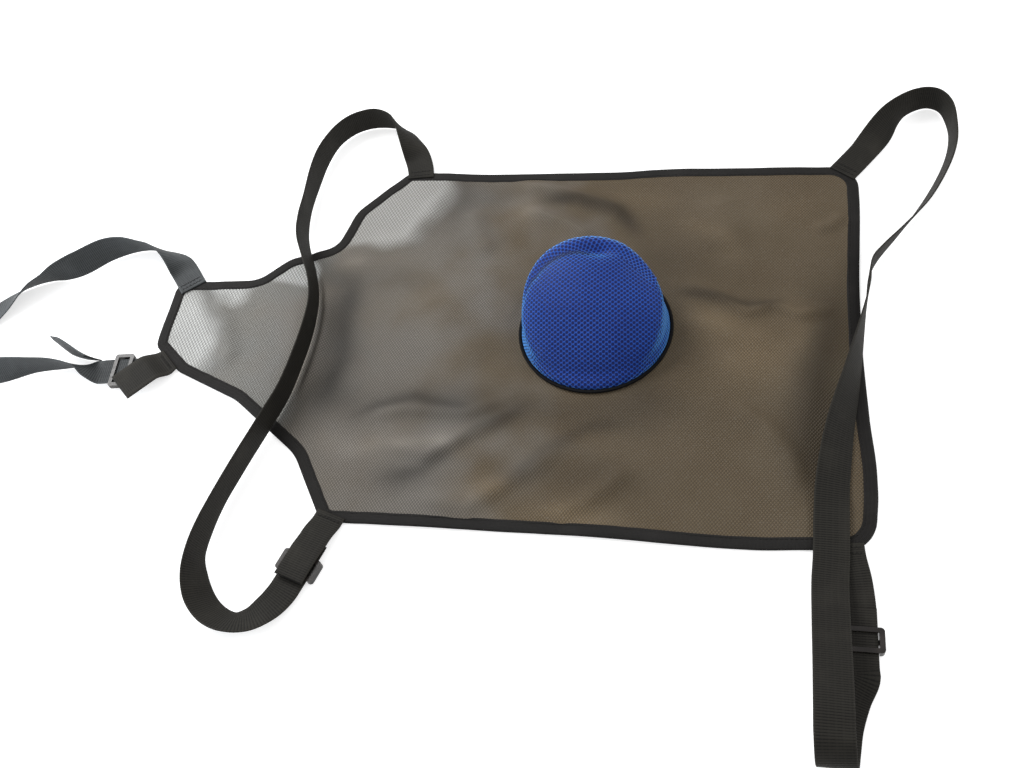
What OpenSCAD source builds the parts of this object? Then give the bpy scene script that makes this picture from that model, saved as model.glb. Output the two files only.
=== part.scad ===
// Wheelchair positioning vest with a padded pommel and three adjustable webbing loops.
// The panel lies flat on a surface: +X points to the wide end, +Y to the far long edge, +Z up.
// The origin is the middle of the panel's underside. All sizes are in millimetres.

/* [Panel] */
// Overall length of the bound panel, tongue end to wide end
panel_l = 732; // [700:1:760]
// Overall width of the body
panel_w = 444; // [430:1:460]
// Thickness of the mesh cloth inside the binding
cloth_t = 1.6; // [1.4:0.1:1.8]

/* [Binding] */
// Visible width of the edge binding
binding_w = 12; // [10:1:14]
// Thickness of the binding over the rim
binding_h = 2.0; // [1.8:0.1:2.2]
// Thickness of one layer of binding tape
tape_t = 0.5; // [0.4:0.1:0.5]

/* [Pommel] */
// Distance of the pommel's centre from the panel's centre, towards the wide end
pommel_x = 108; // [80:1:130]
// Distance of the pommel's centre from the panel's long axis
pommel_y = 4; // [0:1:8]
// Radius of the pommel's cover at its base
pommel_base_r = 74; // [70:1:80]
// Radius of the pommel's top, out to its rounded shoulder
pommel_top_r = 48; // [46:1:50]
// Radius of the rounded shoulder
pommel_edge_r = 24; // [20:1:26]
// Height of the pommel above the cloth, before its face slopes down
pommel_h = 78; // [74:1:82]
// Slope of the pommel's domed face, which runs down to the near side, in degrees
face_tilt = 30; // [26:1:32]
// Radius of the domed face
face_dome_r = 170; // [160:5:200]
// Thickness of the spacer mesh cover
cover_t = 4; // [3:0.5:5]
// Thickness of the piping round the base
piping_d = 4.4; // [3:0.2:5]
// Tilt of the seam between the cover's face and its band, in degrees
seam_tilt = 34; // [32:1:36]

/* [Webbing] */
// Width of the webbing
webbing_w = 30; // [28:1:30]
// Thickness of the webbing
webbing_t = 1.4; // [1.2:0.1:1.4]

/* [Sliders] */
// Length of a slider across the webbing
slider_l = 40; // [38:1:42]
// Depth of a slider along the webbing
slider_d = 21; // [20:1:22]
// Thickness of a slider's bars
bar_t = 1.8; // [1.6:0.1:1.8]

/* [Hidden] */

cloth_colour = "#5d574c";
black = "#2a2927";
blue = "#1f4fb8";
foam_colour = "#d9d4c4";

arc_steps = 8;
arc_fn = 72;
big = 2000;

// The rim of the cloth sits in the middle of the folded binding
rim_t = binding_h - 2 * tape_t;

// Corners of the outline as the cloth lies, anticlockwise: [x, y, corner radius]
half_l = panel_l / 2;
half_w = panel_w / 2;
shoulder_x = -128;
corners = [
    [half_l, -half_w, 30],
    [half_l, half_w, 30],
    [shoulder_x, half_w, 14],
    [-178, 162, 40],
    [-190, 112, 24],
    [-240, 92, 30],
    [-270, 62, 30],
    [-half_l, 60, 14],
    [-half_l + 3, -28, 14],
    [-326, -60, 30],
    [-252, -92, 60],
    [-172, -152, 60],
    [shoulder_x, -half_w, 16]
];

// Where each length of binding ends along the panel
tongue_cut = -342;
wide_cut = 330;

// Heights of the sewn webbing: over the binding, and over another layer of webbing
first_layer = binding_h;
second_layer = binding_h + webbing_t + 0.2;
// Height of the neck strap where its slider sits on top of the tab
neck_layer = 5.6;
// Low edge of webbing that stands on the panel
over_panel = binding_h + 0.4;

// Webbing routes. Each point is [x, y, height of the low edge, direction across the webbing].
neck_route = [
    [-340, 46, first_layer, [-8, -6, 0]],
    [-360, 71, first_layer, [-8, -6, 0]],
    [-372, 84, 1, [-7, -7, 5]],
    [-386, 93, 0, [-3, -6, 8]],
    [-402, 99, 0, [-1, -4, 9]],
    [-420, 102, 0, [0, -3, 9]],
    [-442, 101, 0, [0, 0, 10]],
    [-464, 94, 0, [-1, 3, 10]],
    [-487, 78, 0, [-3, 4, 9]],
    [-506, 64, 0, [0, 1, 9]],
    [-524, 54, 0, [2, -4, 9]],
    [-543, 43, 0, [4, -5, 7]],
    [-568, 20, 0, [7, -7, 3]],
    [-592, -10, 0, [9, -4, 0]],
    [-598, -42, 0, [9, 3, 2]],
    [-580, -66, 0, [5, 8, 4]],
    [-555, -74, 0, [1, 8, 7]],
    [-530, -72, 0, [0, 5, 8]],
    [-495, -66, 0, [0, 0, 10]],
    [-462, -63, 0, [0, -2, 9]],
    [-436, -63, 0, [0, -5, 8]],
    [-424, -65, 3, [0, -8, 4]],
    [-412, -66, neck_layer, [1, -11, 0]],
    [-404, -65.4, neck_layer, [1, -11, 0]],
    [-388, -64, neck_layer, [1, -11, 0]],
    [-364, -61.9, neck_layer, [1, -11, 0]]
];
neck_tail_route = [
    [-422, -54, 0, [0, -4, 8]],
    [-438, -49, 0, [1, -2, 9]],
    [-458, -41, 0, [0, 0, 10]],
    [-480, -30, 0, [0, 0, 10]]
];
neck_tab_route = [
    [-336, -41, first_layer, [3, -3, 0]],
    [-358, -64, first_layer, [4, -3, 0]],
    [-380, -88, first_layer, [4, -3, 0]]
];
shoulder_route = [
    [-112, 204, first_layer, [-10, 0, 0]],
    [-114, 222, first_layer, [-10, -1, 0]],
    [-121, 242, first_layer, [-9, -4, 0]],
    [-131, 261, 1, [-8, -4, 5]],
    [-143, 280, 0, [-5, -4, 8]],
    [-158, 293, 0, [-1, -2, 10]],
    [-178, 299, 0, [0, 0, 10]],
    [-196, 296, 0, [0, 0, 10]],
    [-212, 286, 0, [0, 0, 10]],
    [-225, 267, 0, [0, 0, 10]],
    [-233, 238, 0, [-1, 0, 10]],
    [-235, 206, 0, [-1, 0, 10]],
    [-234, 165, 0, [0, 0, 10]],
    [-231, 132, 0, [-1, 0, 9]],
    [-223, 104, over_panel, [-2, -1, 10]],
    [-210, 76, over_panel, [-2, -1, 10]],
    [-197, 46, over_panel, [-1, 0, 9]],
    [-190, 18, over_panel, [0, 0, 10]],
    [-188, -15, over_panel, [0, 0, 10]],
    [-190, -55, over_panel, [0, 0, 10]],
    [-194, -90, over_panel, [0, 0, 10]],
    [-202, -120, over_panel, [0, 0, 10]],
    [-211, -146, 0, [0, 0, 10]],
    [-220, -178, 0, [0, 0, 10]],
    [-228, -210, 0, [0, 0, 10]],
    [-233, -240, 0, [-1, 0, 10]],
    [-234, -266, 0, [-2, 0, 9]],
    [-229, -288, 0, [-5, -2, 8]],
    [-219, -307, 0, [-6, -4, 6]],
    [-203, -321, 0, [-4, -7, 6]],
    [-184, -327, 0, [0, -8, 6]],
    [-167, -322, 1, [3, -9, 4]],
    [-154, -309, 3, [7, -6, 1]],
    [-146, -296, second_layer, [9, -4, 0]],
    [-142, -286, second_layer, [3, -1, 0]],
    [-136, -268, second_layer, [3, -1, 0]],
    [-128, -244, second_layer, [3, -1, 0]]
];
shoulder_tab_route = [
    [-115, -205, first_layer, [3, -1, 0]],
    [-122, -226, first_layer, [3, -1, 0]],
    [-136, -268, first_layer, [3, -1, 0]],
    [-141, -283, first_layer, [3, -1, 0]]
];
base_route = [
    [342, 201, first_layer, [-8, 6, 0]],
    [357, 221, first_layer, [-8, 6, 0]],
    [372, 242, first_layer, [-8, 6, 0]],
    [386, 262, 1, [-8, 6, 4]],
    [399, 282, 0, [-5, 3, 8]],
    [412, 296, 0, [-1, 2, 9]],
    [426, 305, 0, [0, 1, 10]],
    [440, 308, 0, [0, 0, 10]],
    [452, 302, 0, [0, 0, 10]],
    [459, 286, 0, [1, 0, 10]],
    [461, 262, 0, [1, 0, 10]],
    [457, 230, 0, [2, -1, 9]],
    [445, 195, 0, [3, -1, 9]],
    [425, 155, 0, [3, -2, 9]],
    [402, 121, 0, [2, -2, 10]],
    [381, 92, 0, [1, -1, 10]],
    [371, 72, 0, [0, 0, 10]],
    [367, 40, over_panel, [0, 0, 10]],
    [360, 0, over_panel, [-2, 0, 10]],
    [350, -50, over_panel, [-5, 0, 8]],
    [338, -105, over_panel, [-8, 0, 5]],
    [331, -155, over_panel, [-10, 0, 2]],
    [329, -190, 4.2, [-10, 0, 0]],
    [328, -226, 4.4, [-10, 0, 0]],
    [326, -255, 8, [-10, 0, 0]],
    [325, -290, 18, [-10, 0, 0]],
    [324, -330, 32, [-10, 0, 0]],
    [323, -365, 43, [-10, 0, 0]],
    [323, -390, 44, [-10, 0, 0]],
    [325, -404, 30, [-10, 0, 0]],
    [328, -400, 12, [-10, 0, 0]],
    [331, -384, 2, [-10, 1, 0]],
    [334, -366, 0.4, [-10, 3, 0]],
    [340, -346, 2, [-10, 3, 0]],
    [347, -330, second_layer, [-10, 1, 0]],
    [347, -321, second_layer, [-10, 0, 0]],
    [347, -299, second_layer, [-10, 0, 0]],
    [347, -272, second_layer, [-10, 0, 0]]
];
base_tab_route = [
    [339, -204, first_layer, [-10, 1, 0]],
    [341, -226, first_layer, [-10, 1, 0]],
    [345, -248, first_layer, [-10, 1, 0]],
    [347, -272, first_layer, [-10, 0, 0]],
    [347, -299, first_layer, [-10, 0, 0]],
    [347, -315, first_layer, [-10, 0, 0]]
];

// Route points at which the folding parts of each loop begin and end
neck_fold = 1;
neck_tab_fold = 1;
shoulder_fold = 2;
shoulder_tab_fold = 1;
arch_start = 2;
arch_end = 16;
drop_fold = 23;
base_tab_fold = 1;
// Part of a route's step left open at a fold, so that the two sides never meet
fold_gap = 0.03;

// Slider places: [x, y, height of the underside, turn], and the webbing that passes through
slider_clear = 0.2;
neck_slider_at = [-388, -64, first_layer + webbing_t + slider_clear, 5];
shoulder_slider_at = [-136, -268, 0, 71.6];
base_slider_at = [347, -299, 0, 90];
one_layer = webbing_t + 2 * slider_clear;
two_layers = 2 * webbing_t + 3 * slider_clear;

// ---- Outline of the panel ----

function rot90(v) = [-v[1], v[0]];
function unit(v) = v / norm(v);
function spin(v, a) = [v[0] * cos(a) - v[1] * sin(a), v[0] * sin(a) + v[1] * cos(a)];

// Points of the rounded outline, moved inwards by inset
function outline(inset) = [
    for (i = [0 : len(corners) - 1])
        let (
            count = len(corners),
            here = [corners[i][0], corners[i][1]],
            before = corners[(i + count - 1) % count],
            after = corners[(i + 1) % count],
            dir_in = unit(here - [before[0], before[1]]),
            dir_out = unit([after[0], after[1]] - here),
            n_in = rot90(dir_in),
            n_out = rot90(dir_out),
            corner = here + inset * (n_in + n_out) / (1 + n_in * n_out),
            turn = atan2(dir_in[0] * dir_out[1] - dir_in[1] * dir_out[0], dir_in * dir_out),
            side = sign(turn),
            r = max(corners[i][2] - side * inset, 2),
            start = corner - dir_in * r * tan(abs(turn) / 2),
            centre = start + side * r * n_in
        )
        for (k = [0 : arc_steps])
            centre + spin(start - centre, turn * k / arc_steps)
];

// ---- Webbing swept along a route ----

// A route point as one list of six numbers: the webbing's middle, then the direction across it
function knot(p) =
    let (across = unit(p[3]))
    concat([p[0], p[1], p[2] + webbing_w / 2 * abs(across[2]) + webbing_t / 2], across);

function smooth(p0, p1, p2, p3, t) =
    p1 + 0.5 * t * ((p2 - p0) + t * ((2 * p0 - 5 * p1 + 4 * p2 - p3) + t * (3 * p1 - p0 - 3 * p2 + p3)));

function between(v, a, b) = min(max(v, min(a, b)), max(a, b));

// The smoothed route at position u, which counts route points. Height and tilt stay between those
// of the two nearest points, so that webbing laid flat stays flat.
function along(knots, u) =
    let (
        last = len(knots) - 1,
        i = min(max(floor(u), 0), last - 1),
        free = smooth(knots[max(i - 1, 0)], knots[i], knots[i + 1], knots[min(i + 2, last)], u - i)
    )
    [for (k = [0 : 5]) k == 2 || k == 5 ? between(free[k], knots[i][k], knots[i + 1][k]) : free[k]];

function first_three(v) = [v[0], v[1], v[2]];
function last_three(v) = [v[3], v[4], v[5]];

// The four corners of the webbing's section at position u
function section(knots, u) =
    let (
        last = len(knots) - 1,
        here = along(knots, u),
        step = along(knots, min(u + 0.05, last)) - along(knots, max(u - 0.05, 0)),
        forward = unit(first_three(step)),
        raw = last_three(here),
        across = unit(raw - (raw * forward) * forward) * webbing_w / 2,
        up = unit(cross(forward, across)) * webbing_t / 2,
        middle = first_three(here)
    )
    [middle - across - up, middle + across - up, middle + across + up, middle - across + up];

// The two wide faces are split into triangles along the same diagonals, so that they stay a
// thickness apart where the webbing twists.
module webbing(route, from, to) {
    knots = [for (p = route) knot(p)];
    rings = max(2, 2 * ceil(to - from));
    points = [for (i = [0 : rings]) each section(knots, from + (to - from) * i / rings)];
    sides = [for (i = [0 : rings - 1]) for (j = [0 : 3])
        let (a = 4 * i + j, b = a + 4, d = 4 * i + (j + 1) % 4, c = d + 4)
        each j == 2 ? [[a, b, d], [b, c, d]] : [[a, b, c], [a, c, d]]];
    ends = [[0, 1, 2], [0, 2, 3], [4 * rings + 3, 4 * rings + 2, 4 * rings + 1],
        [4 * rings + 3, 4 * rings + 1, 4 * rings]];
    color(black) polyhedron(points, concat(sides, ends));
}

// ---- Cloth and binding ----

module fabric_panel() {
    color(cloth_colour) {
        linear_extrude(cloth_t) polygon(outline(binding_w + 0.2));
        translate([0, 0, tape_t]) linear_extrude(rim_t) polygon(outline(tape_t));
    }
}

// Tape folded over the rim all round, cut to one length by the box from x_low to x_high
module binding(x_low, x_high, y_low, y_high) {
    color(black) intersection() {
        difference() {
            linear_extrude(binding_h) polygon(outline(0));
            translate([0, 0, -1]) linear_extrude(binding_h + 2) polygon(outline(binding_w));
            translate([0, 0, tape_t]) linear_extrude(rim_t) polygon(outline(tape_t));
        }
        translate([x_low, y_low, -1]) cube([x_high - x_low, y_high - y_low, binding_h + 2]);
    }
}

module binding_tongue_end() {
    binding(-big, tongue_cut, -big, big);
}

module binding_neck_upper() {
    binding(tongue_cut, shoulder_x, 0, big);
}

module binding_neck_lower() {
    binding(tongue_cut, shoulder_x, -big, 0);
}

module binding_side_upper() {
    binding(shoulder_x, wide_cut, 0, big);
}

module binding_side_lower() {
    binding(shoulder_x, wide_cut, -big, 0);
}

module binding_wide_end() {
    binding(wide_cut, big, -big, big);
}

// ---- Pommel ----

// A round pommel on the cloth, before its face is sloped, with its skin moved inwards by inset
module pommel_drum(inset) {
    shoulder_z = pommel_h - 2 - pommel_edge_r;
    shoulder_start = 4;
    shoulder = [for (k = [0 : arc_steps])
        let (a = shoulder_start + (90 - shoulder_start) * k / arc_steps, r = pommel_edge_r - inset)
        [pommel_top_r + r * cos(a), shoulder_z + r * sin(a)]];
    translate([pommel_x, pommel_y, cloth_t]) rotate_extrude($fn = arc_fn)
        polygon(concat([[0, 0], [pommel_base_r - inset, 0]], shoulder, [[0, pommel_h - inset]]));
}

// The domed space under the face, turned about the middle of the face
module under_face(inset) {
    crown_back = 19.5;
    crown_h = 51.4;
    reach = 40;
    dome = [for (k = [0 : arc_steps])
        let (a = 2 + (reach - 2) * k / arc_steps, r = face_dome_r - inset)
        [r * sin(a), r * cos(a) - face_dome_r]];
    foot = dome[arc_steps][0];
    translate([pommel_x, pommel_y - crown_back, cloth_t + crown_h]) rotate([face_tilt, 0, 0])
        rotate_extrude($fn = arc_fn)
            polygon(concat([[0, -face_dome_r], [0, dome[0][1]]], dome, [[foot, -face_dome_r]]));
}

// The whole pommel, with its skin moved inwards by inset
module pommel_solid(inset) {
    intersection() {
        pommel_drum(inset);
        under_face(inset);
    }
}

module cover_shell() {
    difference() {
        pommel_solid(0);
        translate([0, 0, -0.01]) pommel_solid(cover_t);
    }
}

// The space under the seam, which slopes up from the near side to the far rim
module below_seam() {
    seam_back = 60;
    translate([pommel_x, pommel_y - seam_back, cloth_t]) rotate([seam_tilt, 0, 0])
        translate([-big / 2, 0, -big]) cube([big, big, big]);
}

module pommel_cover_face() {
    color(blue) difference() {
        cover_shell();
        below_seam();
    }
}

module pommel_cover_band() {
    color(blue) intersection() {
        cover_shell();
        below_seam();
    }
}

module pommel_foam() {
    color(foam_colour) pommel_solid(cover_t + 0.3);
}

module pommel_piping() {
    ring_r = pommel_base_r + piping_d / 2 + 0.4;
    color(black) translate([pommel_x, pommel_y, cloth_t + piping_d / 2]) rotate_extrude($fn = arc_fn)
        translate([ring_r, 0]) circle(d = piping_d, $fn = 24);
}

// ---- Webbing sewn to the panel ----

module neck_strap_root() {
    webbing(neck_route, 0, neck_fold - fold_gap);
}

module neck_tab_root() {
    webbing(neck_tab_route, 0, neck_tab_fold - fold_gap);
}

module shoulder_strap_root() {
    webbing(shoulder_route, 0, shoulder_fold - fold_gap);
}

module shoulder_tab_root() {
    webbing(shoulder_tab_route, 0, shoulder_tab_fold - fold_gap);
}

module base_strap_root() {
    webbing(base_route, 0, arch_start - fold_gap);
}

module base_tab_root() {
    webbing(base_tab_route, 0, base_tab_fold - fold_gap);
}

module base_strap_side() {
    webbing(base_route, arch_end + fold_gap, drop_fold - fold_gap);
}

// Two rows of thread across a sewn end, at a distance along the first step of its route
module bar_tacks(route) {
    tack_l = webbing_w - 6;
    heading = route[1] - route[0];
    turn = atan2(heading[1], heading[0]);
    for (distance = [3, 9])
        translate([route[0][0], route[0][1], first_layer + webbing_t])
            rotate([0, 0, turn])
                translate([distance, -tack_l / 2, 0]) cube([1.4, tack_l, 0.4]);
}

module corner_stitching() {
    color(black) for (route = [neck_route, neck_tab_route, shoulder_route, shoulder_tab_route,
            base_route, base_tab_route])
        bar_tacks(route);
}

// ---- Neck loop ----

module neck_strap() {
    webbing(neck_route, neck_fold + fold_gap, len(neck_route) - 1);
}

// The strap's folded end, sewn down on the tab
module neck_strap_hem() {
    hem_l = 7;
    tab_top = first_layer + webbing_t;
    color(black) translate([neck_slider_at[0], neck_slider_at[1], tab_top])
        rotate([0, 0, neck_slider_at[3]])
            translate([24 - hem_l, -webbing_w / 2 + 6, 0])
                cube([hem_l, webbing_w - 12, neck_layer - tab_top]);
}

module neck_tab() {
    webbing(neck_tab_route, neck_tab_fold + fold_gap, len(neck_tab_route) - 1);
}

module neck_tail() {
    webbing(neck_tail_route, 0, len(neck_tail_route) - 1);
}

// ---- Shoulder loop ----

module shoulder_strap() {
    webbing(shoulder_route, shoulder_fold + fold_gap, len(shoulder_route) - 1);
}

module shoulder_tab() {
    webbing(shoulder_tab_route, shoulder_tab_fold + fold_gap, len(shoulder_tab_route) - 1);
}

// ---- Base loop ----

module base_strap_arch() {
    webbing(base_route, arch_start + fold_gap, arch_end - fold_gap);
}

module base_strap_drop() {
    webbing(base_route, drop_fold + fold_gap, len(base_route) - 1);
}

module base_tab() {
    webbing(base_tab_route, base_tab_fold + fold_gap, len(base_tab_route) - 1);
}

// ---- Sliders ----

// Outline of a slider seen from above, with round corners
module slider_plan() {
    corner_r = 3;
    square([slider_d - 2 * corner_r, slider_l], center = true);
    square([slider_d, slider_l - 2 * corner_r], center = true);
    for (sx = [-1, 1])
        for (sy = [-1, 1])
            translate([sx * (slider_d / 2 - corner_r), sy * (slider_l / 2 - corner_r)])
                circle(r = corner_r, $fn = 32);
}

// A slider with a low middle bar and two high outer bars, which pass webbing of height inner_h
module slider(at, inner_h) {
    inner_l = webbing_w + 1.6;
    outer_bar_d = 4;
    middle_bar_d = 4;
    full_h = inner_h + 2 * bar_t;
    color(black) translate([at[0], at[1], at[2]]) rotate([0, 0, at[3]]) {
        difference() {
            linear_extrude(full_h) slider_plan();
            translate([-slider_d, -inner_l / 2, -1]) cube([2 * slider_d, inner_l, bar_t + inner_h + 1]);
            translate([outer_bar_d - slider_d / 2, -inner_l / 2, -1])
                cube([slider_d - 2 * outer_bar_d, inner_l, full_h + 2]);
        }
        translate([-middle_bar_d / 2, -inner_l / 2 - 1, 0]) cube([middle_bar_d, inner_l + 2, bar_t]);
    }
}

module neck_slider() {
    slider(neck_slider_at, one_layer);
}

module shoulder_slider() {
    slider(shoulder_slider_at, two_layers);
}

module base_slider() {
    slider(base_slider_at, two_layers);
}

fabric_panel();
binding_tongue_end();
binding_neck_upper();
binding_neck_lower();
binding_side_upper();
binding_side_lower();
binding_wide_end();
pommel_cover_face();
pommel_cover_band();
pommel_foam();
pommel_piping();
neck_strap_root();
neck_tab_root();
shoulder_strap_root();
shoulder_tab_root();
base_strap_root();
base_tab_root();
base_strap_side();
corner_stitching();
neck_strap();
neck_strap_hem();
neck_tab();
neck_tail();
neck_slider();
shoulder_strap();
shoulder_tab();
shoulder_slider();
base_strap_arch();
base_strap_drop();
base_tab();
base_slider();
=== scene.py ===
"""Looks of a wheelchair positioning vest: bound mesh cloth, a padded pommel and three webbing loops.

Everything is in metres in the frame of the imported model. +X points to the wide end, +Z is up.
"""
import math

import bmesh
import bpy
import numpy as np
from mathutils import Matrix, Vector, noise


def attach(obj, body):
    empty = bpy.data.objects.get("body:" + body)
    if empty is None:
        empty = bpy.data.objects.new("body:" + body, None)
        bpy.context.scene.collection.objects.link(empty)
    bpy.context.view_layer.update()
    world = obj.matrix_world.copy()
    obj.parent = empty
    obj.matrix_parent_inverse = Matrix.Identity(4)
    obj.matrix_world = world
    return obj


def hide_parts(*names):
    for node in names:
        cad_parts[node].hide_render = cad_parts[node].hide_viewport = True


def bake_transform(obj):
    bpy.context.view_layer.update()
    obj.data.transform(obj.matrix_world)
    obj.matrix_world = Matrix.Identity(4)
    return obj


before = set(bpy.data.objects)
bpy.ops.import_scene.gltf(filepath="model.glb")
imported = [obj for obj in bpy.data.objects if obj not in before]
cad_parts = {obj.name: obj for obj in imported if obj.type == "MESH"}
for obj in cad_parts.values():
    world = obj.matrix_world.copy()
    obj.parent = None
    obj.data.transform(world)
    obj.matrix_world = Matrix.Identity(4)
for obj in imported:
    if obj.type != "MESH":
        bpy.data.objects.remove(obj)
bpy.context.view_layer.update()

# ---------------------------------------------------------------- sizes

# The panel, its cloth and its binding
HALF_L = 0.366
HALF_W = 0.222
CLOTH_T = 0.0016
CLOTH_INSET = 0.004
BINDING_W = 0.012
ARC_STEPS = 8

# The webbing, the distance between the rings of its mesh, and how high its low edge lies in each layer
WEB_W = 0.030
WEB_T = 0.0014
RING_STEP = 0.0025
FIRST = 0.002
SECOND = 0.0036
NECK = 0.0056
OVER = 0.0024

# The pommel: its round body, the domed face that slopes down to the front, and the piping at its foot
POMMEL = (0.108, 0.004)
POMMEL_R = 0.074
POMMEL_TOP_R = 0.048
POMMEL_EDGE_R = 0.024
POMMEL_H = 0.078
POMMEL_BULGE = 0.002
FACE_TILT = math.radians(30)
FACE_DOME_R = 0.170
CROWN_BACK = 0.0195
CROWN_H = 0.0514
PIPING_D = 0.0044

# The plane of the seam between the cover's face and its band: a point on it and the way up from it
SEAM_TILT = math.radians(34)
SEAM_POINT = (POMMEL[0], POMMEL[1] - 0.057, CLOTH_T)
SEAM_UP = (0, -math.sin(SEAM_TILT), math.cos(SEAM_TILT))

# Corners of the panel, anticlockwise: x, y, corner radius
CORNERS = [
    (HALF_L, -HALF_W, 0.030), (HALF_L, HALF_W, 0.030), (-0.128, HALF_W, 0.014), (-0.178, 0.162, 0.040),
    (-0.190, 0.112, 0.024), (-0.240, 0.092, 0.030), (-0.270, 0.062, 0.030), (-HALF_L, 0.060, 0.014),
    (-0.363, -0.028, 0.014), (-0.326, -0.060, 0.030), (-0.252, -0.092, 0.060), (-0.172, -0.152, 0.060),
    (-0.128, -HALF_W, 0.016),
]

# Webbing routes: x, y, height of the low edge, direction across the webbing
NECK_ROUTE = [
    (-0.340, 0.046, FIRST, (-8, -6, 0)), (-0.360, 0.071, FIRST, (-8, -6, 0)),
    (-0.372, 0.084, 0.001, (-7, -7, 5)), (-0.386, 0.093, 0, (-3, -6, 8)),
    (-0.402, 0.099, 0, (-1, -4, 9)), (-0.420, 0.102, 0, (0, -3, 9)),
    (-0.442, 0.101, 0, (0, 0, 10)), (-0.464, 0.094, 0, (-1, 3, 10)),
    (-0.487, 0.078, 0, (-3, 4, 9)), (-0.506, 0.064, 0, (0, 1, 9)),
    (-0.524, 0.054, 0, (2, -4, 9)), (-0.543, 0.043, 0, (4, -5, 7)),
    (-0.568, 0.020, 0, (7, -7, 3)), (-0.592, -0.010, 0, (9, -4, 0)),
    (-0.598, -0.042, 0, (9, 3, 2)), (-0.580, -0.066, 0, (5, 8, 4)),
    (-0.555, -0.074, 0, (1, 8, 7)), (-0.530, -0.072, 0, (0, 5, 8)),
    (-0.495, -0.066, 0, (0, 0, 10)), (-0.462, -0.063, 0, (0, -2, 9)),
    (-0.436, -0.063, 0, (0, -5, 8)), (-0.424, -0.065, 0.003, (0, -8, 4)),
    (-0.412, -0.066, NECK, (1, -11, 0)), (-0.404, -0.0654, NECK, (1, -11, 0)),
    (-0.388, -0.064, NECK, (1, -11, 0)), (-0.364, -0.0619, NECK, (1, -11, 0)),
]
NECK_HEM_ROUTE = [(-0.3705, -0.0625, 0.0036, (1, -11, 0)), (-0.3645, -0.0620, 0.0036, (1, -11, 0))]
NECK_TAIL_ROUTE = [
    (-0.422, -0.054, 0, (0, -4, 8)), (-0.438, -0.049, 0, (1, -2, 9)),
    (-0.458, -0.041, 0, (0, 0, 10)), (-0.480, -0.030, 0, (0, 0, 10)),
]
NECK_TAB_ROUTE = [
    (-0.336, -0.041, FIRST, (3, -3, 0)), (-0.358, -0.064, FIRST, (4, -3, 0)),
    (-0.380, -0.088, FIRST, (4, -3, 0)),
]
SHOULDER_ROUTE = [
    (-0.112, 0.204, FIRST, (-10, 0, 0)), (-0.114, 0.222, FIRST, (-10, -1, 0)),
    (-0.121, 0.242, FIRST, (-9, -4, 0)), (-0.131, 0.261, 0.001, (-8, -4, 5)),
    (-0.143, 0.280, 0, (-5, -4, 8)), (-0.158, 0.293, 0, (-1, -2, 10)),
    (-0.178, 0.299, 0, (0, 0, 10)), (-0.196, 0.296, 0, (0, 0, 10)),
    (-0.212, 0.286, 0, (0, 0, 10)), (-0.225, 0.267, 0, (0, 0, 10)),
    (-0.233, 0.238, 0, (-1, 0, 10)), (-0.235, 0.206, 0, (-1, 0, 10)),
    (-0.234, 0.165, 0, (0, 0, 10)), (-0.231, 0.132, 0, (-1, 0, 9)),
    (-0.223, 0.104, OVER, (-2, -1, 10)), (-0.210, 0.076, OVER, (-2, -1, 10)),
    (-0.197, 0.046, OVER, (-1, 0, 9)), (-0.190, 0.018, OVER, (0, 0, 10)),
    (-0.188, -0.015, OVER, (0, 0, 10)), (-0.190, -0.055, OVER, (0, 0, 10)),
    (-0.194, -0.090, OVER, (0, 0, 10)), (-0.202, -0.120, OVER, (0, 0, 10)),
    (-0.211, -0.146, 0, (0, 0, 10)), (-0.220, -0.178, 0, (0, 0, 10)),
    (-0.228, -0.210, 0, (0, 0, 10)), (-0.233, -0.240, 0, (-1, 0, 10)),
    (-0.234, -0.266, 0, (-2, 0, 9)), (-0.229, -0.288, 0, (-5, -2, 8)),
    (-0.219, -0.307, 0, (-6, -4, 6)), (-0.203, -0.321, 0, (-4, -7, 6)),
    (-0.184, -0.327, 0, (0, -8, 6)), (-0.167, -0.322, 0.001, (3, -9, 4)),
    (-0.154, -0.309, 0.003, (7, -6, 1)), (-0.146, -0.296, SECOND, (9, -4, 0)),
    (-0.142, -0.286, SECOND, (3, -1, 0)), (-0.136, -0.268, SECOND, (3, -1, 0)),
    (-0.128, -0.244, SECOND, (3, -1, 0)),
]
SHOULDER_TAB_ROUTE = [
    (-0.115, -0.205, FIRST, (3, -1, 0)), (-0.122, -0.226, FIRST, (3, -1, 0)),
    (-0.136, -0.268, FIRST, (3, -1, 0)), (-0.141, -0.283, FIRST, (3, -1, 0)),
]
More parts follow.
